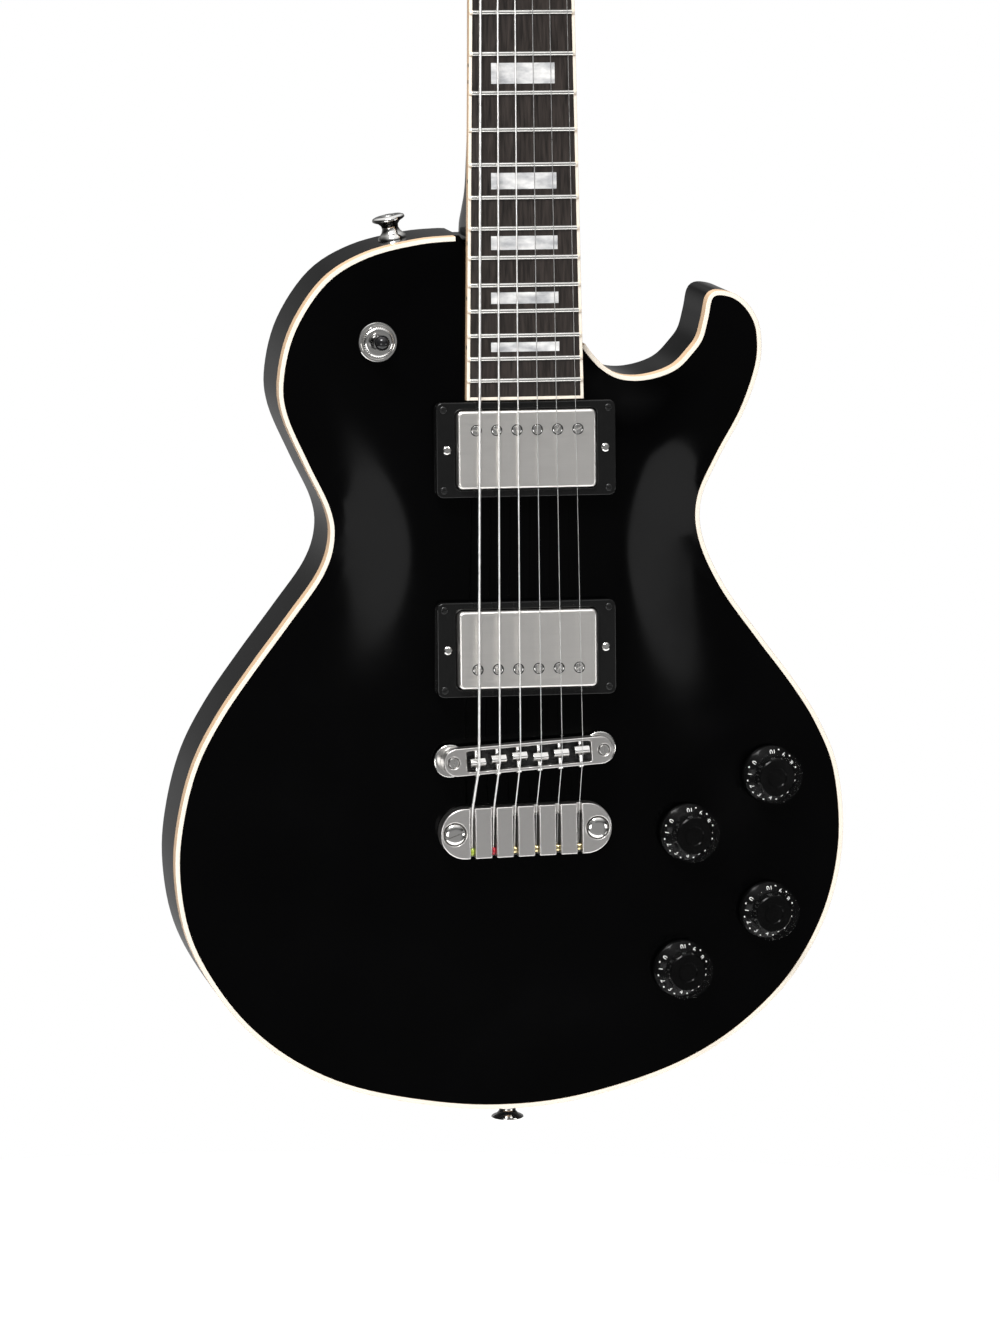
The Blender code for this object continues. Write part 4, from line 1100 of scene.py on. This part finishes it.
def add_bridge():
    """Frame, posts with knurled wheels, and the saddles with their screws."""
    outline = rounded_box(BRIDGE_LENGTH, BRIDGE_WIDTH, BRIDGE_WIDTH / 2 - 0.01, steps=16)
    trough = prism(rounded_box(61.6, BRIDGE_WIDTH - 3.2, 1.0), -4.6, 5, on_bridge)
    down = on_neck(0, -1, 0) - on_neck(0, 0, 0)
    holes = []
    for side in (-1, 1):
        centre = on_bridge(side * BRIDGE_POST_SPACING / 2, 0, 0)
        holes.append(turned([(2.9, -5), (2.9, 15)], facing(centre, down), 32))
    add_piece(
        "bridge_frame", prism(outline, BRIDGE_BOTTOM, BRIDGE_TOP, on_bridge), NICKEL,
        nodes=["bridge"], bevel=0.45, cutters=[trough, *holes],
    )
    # A black sheet on the trough's floor: painted shade in the channel under the saddles.
    floor = prism(rounded_box(61.4, BRIDGE_WIDTH - 3.4, 1.0), -4.6, -4.4, on_bridge)
    add_piece("bridge_trough_painted_shade", floor, DOT_AND_SHADE_BLACK)
    for side, name, turn in ((-1, "bass", 1.4), (1, "treble", 1.7)):
        centre = on_bridge(side * BRIDGE_POST_SPACING / 2, 0, 0)
        head = facing(centre, -down, turn)
        top = BRIDGE_TOP + 0.2
        screw = slotted([(2.5, -6.0), (2.55, top - 0.4), (2.2, top)], 0.9, 1.2, head)
        rod = turned([(2.6, -29), (2.6, -6.2)], head, 24)
        wheel = [(7.4, BRIDGE_BOTTOM - 2.9), (8.0, BRIDGE_BOTTOM - 2.5)]
        wheel += [(8.0, BRIDGE_BOTTOM - 0.7), (7.4, BRIDGE_BOTTOM - 0.3)]
        teeth = knurled(wheel, WHEEL_TEETH, 0.25, head)
        add_piece(
            f"post_{name}", merge([screw, rod, teeth]), CHROME,
            nodes=[f"bridge_post_{name}"],
        )
    screws = []
    for number in range(1, 7):
        x, d = saddle_point(number)
        peak = STRING_HEIGHT_AT_SADDLE - STRING_DIAMETERS[number - 1] / 2 - 0.22
        half = SADDLE_LENGTH / 2
        profile = ((-half, -4.3), (half, -4.3), (half, peak - 1.8), (half * 0.8, peak - 1.3))
        profile += ((0.6, peak - 0.1), (0.1, peak), (-0.4, peak - 0.1), (-half, peak - 2.6))
        rings = []
        for reach in (-SADDLE_WIDTH / 2, SADDLE_WIDTH / 2):
            rings.append([on_bridge(x + reach, h, d + along) for along, h in profile])
        bore = turned([(1.3, -6), (1.3, 6)], facing(on_bridge(x, -1.9, d), (0, 0, 1)), 16)
        add_piece(
            f"saddle_block_{number}", loft(rings), CHROME, f"saddle_{number}",
            [f"saddle_{number}"], bevel=0.18, cutters=[bore],
        )
        along = on_bridge(0, 0, -1) - on_bridge(0, 0, 0)
        start = facing(on_bridge(x, -1.9, -BRIDGE_WIDTH / 2 + 0.4), along, math.pi / 2)
        screws.append(slotted([(2.0, -0.4), (2.0, 0.7), (1.5, 1.2)], 0.6, 0.7, start))
        screws.append(turned([(1.0, -11.4), (1.0, 0.2)], start, 16))
    add_piece("saddle_screws", merge(screws), CHROME)


def add_tailpiece():
    """The bar with its slots, black sheets of painted shade on the slot floors, and the two studs.
    """
    outline = rounded_box(TAILPIECE_LENGTH, TAILPIECE_HEIGHT, TAILPIECE_HEIGHT / 2 - 0.01, steps=24)
    cutters = []
    for number in range(1, 7):
        x = string_x(number, STRING_SPAN_AT_TAILPIECE)
        half = SLOT_WIDTH / 2
        cutters.append(prism(box(x - half, x + half, -20, 8), -6.2, 3, on_tailpiece))
        cutters.append(
            prism(box(x - half + 0.1, x + half - 0.1, 7, 20), -3.2, 3, on_tailpiece)
        )
    for side in (-1, 1):
        centre = on_tailpiece(side * TAILPIECE_STUD_SPACING / 2, 0, 0)
        cutters.append(turned([(5.6, -3.0), (5.6, 3.0)], facing(centre, (0, -1, 0))))
    # Black sheets on the slot floors: painted shade, where the deep slots fall dark.
    slot_shade_sheets = []
    for number in range(1, 7):
        x = string_x(number, STRING_SPAN_AT_TAILPIECE)
        half = SLOT_WIDTH / 2 - 0.05
        slot_shade_sheets.append(prism(box(x - half, x + half, -12.2, 7.9), -6.2, -6.0, on_tailpiece))
    add_piece("tailpiece_slot_painted_shade", merge(slot_shade_sheets), DOT_AND_SHADE_BLACK)
    add_piece(
        "tailpiece_bar", prism(outline, -TAILPIECE_THICKNESS, 0, on_tailpiece), NICKEL,
        nodes=["tailpiece"], bevel=0.6, cutters=cutters, clamp=False,
    )
    for side, name, turn in ((-1, "bass", 0.36), (1, "treble", -0.87)):
        centre = on_tailpiece(side * TAILPIECE_STUD_SPACING / 2, 0, 0)
        front = facing(centre, (0, -1, 0), turn)
        dome = [(5.25, -2.6), (5.25, -0.2), (5.0, 0.4), (4.4, 0.85), (3.2, 1.15), (1.8, 1.2)]
        rod = turned([(3.6, -26), (3.6, -3.3)], front, 24)
        add_piece(
            f"stud_{name}", merge([slotted(dome, 1.3, 1.3, front), rod]), CHROME,
            nodes=[f"tailpiece_stud_{name}"],
        )


def ring_seat(d):
    """Y of the flat that a pickup ring rests on: the top's lowest place under the ring."""
    half_x, half_z = RING_LENGTH / 2, RING_HEIGHT / 2
    return max(top_y(x, d + z) for x in (-half_x, half_x) for z in (-half_z, 0, half_z))


def add_pickup(name):
    """Ring, cover, pole screws, height screws and ring screws."""
    d, ring_top, cover_top, pole_side = PICKUPS[name]
    seat = ring_seat(d)
    sine, cosine = math.sin(NECK_PITCH), math.cos(NECK_PITCH)
    outline = rounded_box(RING_LENGTH, RING_HEIGHT, 3.5, (0, d))
    base = [on_neck(x, (FINGERBOARD_Y + z * sine - seat) / cosine, z) for x, z in outline]
    top = [on_neck(x, ring_top, z) for x, z in outline]
    opening = prism(
        rounded_box(COVER_LENGTH + 1.0, COVER_HEIGHT + 1.0, 2.9, (0, d)), 20, -30, on_neck
    )
    add_piece(
        f"ring_{name}", loft([base, top]), PLASTIC,
        nodes=[f"pickup_ring_{name}"], bevel=0.7, cutters=[opening],
    )
    rings = []
    for step in range(7):
        angle = math.pi / 2 * step / 6
        inset = COVER_EDGE * (1 - math.sin(angle)) * 2
        drop = COVER_EDGE * (1 - math.cos(angle))
        corner = COVER_CORNER - inset / 3
        cover = rounded_box(COVER_LENGTH - inset, COVER_HEIGHT - inset, corner, (0, d))
        rings.append([on_neck(x, cover_top - drop, z) for x, z in cover])
    cover = rounded_box(COVER_LENGTH, COVER_HEIGHT, COVER_CORNER, (0, d))
    rings.append([on_neck(x, cover_top - COVER_SKIRT, z) for x, z in cover])
    add_piece(
        f"cover_{name}", loft(rings), BRUSHED, f"pickup_{name}",
        [f"pickup_{name}"],
    )
    out = on_neck(0, 1, 0) - on_neck(0, 0, 0)
    poles, gaps = [], []
    for number in range(1, 7):
        x = string_x(number, POLE_SPAN)
        front = facing(on_neck(x, cover_top, d + pole_side * POLE_OFFSET), out, 0.5 * number)
        poles.append(slotted([(2.25, -0.5), (2.25, 0.12), (1.9, 0.3)], 0.7, 0.5, front))
        gap = [(2.2, -0.4), (2.75, -0.4), (2.75, 0.04), (2.2, 0.04)]
        gaps.append(turned(gap, front, 32, True))
    add_piece(f"poles_{name}", merge(poles), CHROME, f"pickup_{name}")
    add_piece(f"pole_gaps_{name}", merge(gaps), DOT_AND_SHADE_BLACK, f"pickup_{name}")
    for side, word in ((-1, "bass"), (1, "treble")):
        front = facing(on_neck(side * 39.0, ring_top, d), out, 0.4 * side)
        screw = slotted([(2.0, -0.4), (2.0, 0.3), (1.4, 0.8)], 0.6, 0.7, front)
        add_piece(f"height_screw_{name}_{word}", screw, CHROME)
    corners = []
    for x, z in ((-40.6, -19.4), (40.6, -19.4), (-40.6, 19.4), (40.6, 19.4)):
        front = facing(on_neck(x, ring_top, d + z), out, x)
        corners.append(slotted([(1.7, -0.4), (1.7, 0.25), (1.2, 0.6)], 0.5, 0.5, front))
    add_piece(f"ring_screws_{name}", merge(corners), DARK_SCREW)


def numeral(text):
    """A character's outline as a thin closed plate: (points, faces) in text units."""
    curve = bpy.data.curves.new("numeral", "FONT")
    curve.body = text
    curve.align_x = "CENTER"
    curve.align_y = "CENTER"
    curve.size = NUMERAL_SIZE
    curve.extrude = 0.02
    curve.resolution_u = 3
    holder = new_object("numeral", curve)
    bpy.context.view_layer.update()
    mesh = bpy.data.meshes.new_from_object(holder)
    points = [vertex.co.copy() for vertex in mesh.vertices]
    faces = [tuple(face.vertices) for face in mesh.polygons]
    bpy.data.objects.remove(holder)
    return points, faces


def add_knob(name):
    """A black core with a printed collar inside a clear barrel."""
    point, out = knob_frame(name)
    front = facing(point, out)
    core = [(2.9, 0.6), (KNOB_RADIUS - 0.2, 1.2), (KNOB_RADIUS, 1.6), (KNOB_RADIUS, 2.6)]
    core += [(COLLAR_RADIUS, COLLAR_LOW), (KNOB_CORE_RADIUS + 0.2, COLLAR_HIGH)]
    core += [(KNOB_CORE_RADIUS, 12.2), (KNOB_CORE_RADIUS - 0.5, 12.7), (4.9, 12.7)]
    core += [(4.5, 12.2), (1.0, 12.2)]
    add_piece(f"{name}_core", turned(core, front, 72), KNOB_BLACK, name, [name])
    shell = [(KNOB_CORE_RADIUS + 0.05, 12.9), (12.9, 13.0), (13.3, 12.6), (14.05, 3.6)]
    shell += [(13.65, 4.4), (12.9, 12.2), (KNOB_CORE_RADIUS + 0.05, 12.4)]
    add_piece(f"{name}_shell", turned(shell, front, 72, True), CLEAR, name)

    def printed(radius, angle, lift):
        share = (radius - KNOB_CORE_RADIUS) / (COLLAR_RADIUS - KNOB_CORE_RADIUS)
        height = COLLAR_HIGH + (COLLAR_LOW - COLLAR_HIGH) * share + 0.05 + lift
        return front(radius * math.cos(angle), radius * math.sin(angle), height)

    marks = []
    for value in range(11):
        centre = FIRST_NUMERAL + NUMERAL_STEP * value
        points, faces = numeral(str(value))
        points = [
            printed(NUMERAL_RADIUS - co.y, centre + co.x / NUMERAL_RADIUS, co.z) for co in points
        ]
        marks.append((points, faces))
        if value < 10:
            middle = centre + NUMERAL_STEP / 2
            dot_at = facing(printed(DOT_RADIUS, middle, 0.0), out)
            marks.append(turned([(0.45, -0.1), (0.45, 0.05), (0.3, 0.08)], dot_at, 10))
    add_piece(f"{name}_numerals", merge(marks), PRINT_AND_GLOW, name)


def add_switch():
    """Washer, knurled nut, bushing and lever with its tip."""
    point, out = switch_frame()
    front = facing(point, out)
    washer = [(6.4, 0.4), (9.3, 0.4), (9.5, 0.6), (9.5, 1.4), (9.2, 1.75), (8.3, 1.75)]
    washer += [(8.1, 1.5), (7.7, 1.5), (7.6, 1.8), (6.4, 1.8)]
    nut = ((6.9, 1.85), (7.4, 2.2), (7.4, 3.8), (6.9, 4.3), (5.9, 4.6))
    barrel = [(4.0, -10), (6.2, -10), (6.2, 5.0), (5.8, 5.6), (4.6, 5.6), (4.0, 5.0)]
    box_below = [(10.5, -26), (10.5, -8.4), (6.0, -8.4)]
    cup = turned([(2.6, 4.2), (4.6, 5.2)], front, 32)
    shape = merge([
        turned(washer, front, 72, True), knurled(nut, NUT_TEETH, 0.3, front),
        turned(barrel, front, 48, True),
        turned(box_below, front, 32), cup,
    ])
    slot = turned([(3.9, 4.0), (3.9, 7.0)], front, 40)
    add_piece(
        "switch_bushing", shape, CHROME, nodes=["switch_housing"], cutters=[slot]
    )
    lever = [(1.3, -1.2), (1.5, 0), (1.7, 7.5), (1.8, 9.0)]
    tip = [(1.6, 8.0), (2.6, 8.4), (3.4, 9.8), (3.8, 11.6), (3.75, 13.4), (3.3, 15.0)]
    tip += [(2.4, 16.3), (1.2, 16.9), (0.3, 17.0)]
    add_piece("switch_stem", turned(lever, front, 24), CHROME, "switch_lever")
    add_piece(
        "switch_tip", turned(tip, front, 40), TIP, "switch_lever",
        ["switch_lever"],
    )


def add_jack():
    """Square plate, hexagon nut, barrel and four screws."""
    point, out = rim_point(JACK_NEAR)
    local = beside_rim(point, out)
    front = facing(point, out)
    plate = prism(rounded_box(JACK_PLATE, JACK_PLATE, 3), 1.3, -0.7, local)
    hole = turned([(6.3, -5), (6.3, 5)], front)
    barrel = [(3.3, -22), (6.2, -22), (6.2, 2.9), (5.6, 3.2), (3.6, 3.2), (3.3, 2.9)]
    nut = [front(9.0 * math.cos(math.pi / 3 * i), 9.0 * math.sin(math.pi / 3 * i), 0)
           for i in range(6)]
    hexagon = loft([nut, [corner + out * 2.6 for corner in nut]])
    add_piece(
        "jack_plate", plate, CHROME, nodes=["output_jack"], bevel=0.5,
        cutters=[hole],
    )
    add_piece("jack_nut", hexagon, CHROME, bevel=0.4, cutters=[hole])
    add_piece("jack_barrel", turned(barrel, front, 48, True), NICKEL)
    screws = []
    reach = JACK_PLATE / 2 - 4.2
    for x, z in ((-1, -1), (-1, 1), (1, -1), (1, 1)):
        head = facing(local(x * reach, -0.7, z * reach), out, x + z)
        screws.append(slotted([(2.2, -0.4), (2.1, 0.4), (1.5, 0.8)], 0.7, 0.6, head))
    add_piece("jack_screws", merge(screws), CHROME)


def add_strap_buttons():
    """Two pins with a waist, each with a screw in its head."""
    for name, near in STRAP_PLACES.items():
        point, out = rim_point(near)
        front = facing(point, out, 0.6)
        profile = [(1.8, -20), (1.8, 0.2), (6.9, 0.2), (6.7, 1.2), (5.6, 2.4), (4.6, 3.6)]
        profile += [(4.0, 5.2), (4.2, 6.8), (5.4, 8.2), (7.2, 9.0), (7.9, 9.5), (8.0, 10.2)]
        profile += [(7.6, 10.9), (6.4, 11.4), (4.4, 11.5)]
        add_piece(
            f"strap_pin_{name}", turned(profile, front, 56), CHROME,
            nodes=[f"strap_button_{name}"],
        )
        head = [(3.6, 11.3), (3.4, 11.7), (2.2, 12.0)]
        add_piece(f"strap_screw_{name}", slotted(head, 0.9, 0.4, front), STEEL)


def cover_screws():
    """Screws of the back covers and the truss rod cover."""
    corners = [at_back(*knob_frame(name)) for name in KNOBS]
    centre = sum((Vector(corner) for corner in corners), Vector((0, 0))) / len(corners)
    heads = []
    for corner in corners:
        away = (Vector(corner) - centre).normalized() * 15.5
        heads.append((corner[0] + away.x, corner[1] + away.y))
    back_x, back_z = at_back(*switch_frame())
    for angle in (math.pi / 2, math.pi * 7 / 6, math.pi * 11 / 6):
        heads.append((back_x + 21.5 * math.cos(angle), back_z + 21.5 * math.sin(angle)))
    shapes = []
    for number, (x, z) in enumerate(heads):
        head = facing((x, BODY_DEPTH, z), (0, 1, 0), 0.7 * number)
        shapes.append(slotted([(2.6, -0.5), (2.4, 0.0), (1.6, 0.0)], 0.7, 0.5, head))
    add_piece("back_cover_screws", merge(shapes), DARK_SCREW)
    shapes = []
    for x, e in ((-7.6, 13.5), (7.6, 13.5), (0, 38.5)):
        head = facing(on_head(x, 2.3, e), HEAD_OUT, e)
        shapes.append(slotted([(1.5, -0.3), (1.5, 0.2), (1.0, 0.5)], 0.5, 0.4, head))
    add_piece("truss_cover_screws", merge(shapes), CHROME)


# Scene


def add_area(name, position, target, size, power):
    """A rectangular softbox aimed at a point."""
    light = bpy.data.lights.new(name, "AREA")
    light.shape = "RECTANGLE"
    light.size, light.size_y = size
    light.energy = power
    lamp = new_object(name, light)
    lamp.location = position
    aim = Vector(target) - Vector(position)
    lamp.rotation_mode = "QUATERNION"
    lamp.rotation_quaternion = aim.to_track_quat("-Z", "Y")


def add_camera():
    """The camera, in front of the guitar, to its left and a little above."""
    reach = math.cos(CAMERA_PITCH)
    forward = Vector((
        math.sin(CAMERA_YAW) * reach, math.cos(CAMERA_YAW) * reach, math.sin(CAMERA_PITCH)
    ))
    level = Vector((math.cos(CAMERA_YAW), -math.sin(CAMERA_YAW), 0.0))
    upward = level.cross(forward)
    right = level * math.cos(CAMERA_ROLL) + upward * math.sin(CAMERA_ROLL)
    upward = upward * math.cos(CAMERA_ROLL) - level * math.sin(CAMERA_ROLL)
    data = bpy.data.cameras.new("camera")
    data.sensor_width = 36.0
    data.lens = CAMERA_LENS
    data.clip_start, data.clip_end = 0.05, 100.0
    camera = new_object("camera", data)
    turn = Matrix((right, upward, -forward)).transposed().to_4x4()
    camera.matrix_world = Matrix.Translation(place(CAMERA_PLACE)) @ turn
    bpy.context.scene.camera = camera


def add_world():
    """White where the camera looks past the guitar; a soft grey room for everything else."""
    world = bpy.data.worlds.new("studio")
    bpy.context.scene.world = world
    world.use_nodes = True
    nodes, link = world.node_tree.nodes, world.node_tree.links.new
    output = nodes["World Output"]
    room = nodes["Background"]
    where = nodes.new("ShaderNodeTexCoord")
    split = nodes.new("ShaderNodeSeparateXYZ")
    link(where.outputs["Generated"], split.inputs["Vector"])
    ramp = nodes.new("ShaderNodeValToRGB")
    stops = ((0.0, 0.5), (0.36, 0.34), (0.47, 0.34), (0.6, 0.12), (0.85, 1.3))
    elements = ramp.color_ramp.elements
    while len(elements) < len(stops):
        elements.new(0.5)
    for element, (position, grey) in zip(elements, stops):
        element.position = position
        element.color = (grey, grey, grey, 1.0)
    shift = nodes.new("ShaderNodeMapRange")
    shift.inputs["From Min"].default_value = -1.0
    link(split.outputs["Z"], shift.inputs["Value"])
    link(shift.outputs["Result"], ramp.inputs["Fac"])
    sides = nodes.new("ShaderNodeMath")
    sides.operation = "ABSOLUTE"
    link(split.outputs["X"], sides.inputs[0])
    falloff = nodes.new("ShaderNodeMapRange")
    limits = {"From Min": 0.35, "From Max": 0.9, "To Min": 0.9, "To Max": 0.08}
    set_inputs(falloff, limits)
    link(sides.outputs["Value"], falloff.inputs["Value"])
    link(ramp.outputs["Color"], room.inputs["Color"])
    link(falloff.outputs["Result"], room.inputs["Strength"])
    white = nodes.new("ShaderNodeBackground")
    white.inputs["Color"].default_value = (1.0, 1.0, 1.0, 1.0)
    path = nodes.new("ShaderNodeLightPath")
    mix = nodes.new("ShaderNodeMixShader")
    link(path.outputs["Is Camera Ray"], mix.inputs["Fac"])
    link(room.outputs["Background"], mix.inputs[1])
    link(white.outputs["Background"], mix.inputs[2])
    link(mix.outputs["Shader"], output.inputs["Surface"])


def add_floor():
    """A pale floor, bright enough to meet the white beyond it without an edge."""
    low = CAD_BOX[0].z - FLOOR_DROP
    steps = 64
    ring = [2 * math.pi * i / steps for i in range(steps)]
    points = [
        (FLOOR_RADIUS * math.cos(a), FLOOR_CENTRE_Y + FLOOR_RADIUS * math.sin(a), low)
        for a in ring
    ]
    mesh = bpy.data.meshes.new("floor")
    mesh.from_pydata(points, [], [tuple(range(steps))])
    material = surface("floor_pale", (0.86, 0.86, 0.86), 0.7, scale=4, tint=0.01, bump=0.0)
    shader = material.node_tree.nodes["Principled BSDF"]
    set_inputs(shader, {"Emission Color": (1.0, 1.0, 1.0, 1.0), "Emission Strength": 0.55})
    mesh.materials.append(material)
    floor = new_object("floor", mesh)


add_camera()
add_body()
add_neck()
add_fingerboard()
add_nut()
for tuner_number, (tuner_x, tuner_e) in enumerate(tuner_places(), 1):
    add_tuner(tuner_number, tuner_x, tuner_e)
    add_string(tuner_number)
add_bridge()
add_tailpiece()
for pickup_name in PICKUPS:
    add_pickup(pickup_name)
for knob_name in KNOBS:
    add_knob(knob_name)
add_switch()
add_jack()
add_strap_buttons()
cover_screws()
keep_node("truss_rod", STEEL, 0.0)
keep_node("truss_rod_cover", PLASTIC, 0.4)
keep_node("control_plate", STEEL, 0.0)
keep_node("control_cover", PLASTIC, 0.4)
keep_node("switch_cover", PLASTIC, 0.4)
add_world()
add_floor()
for light_name, softbox in SOFTBOXES.items():
    add_area(light_name, *softbox)
bpy.context.scene.view_settings.view_transform = "Standard"
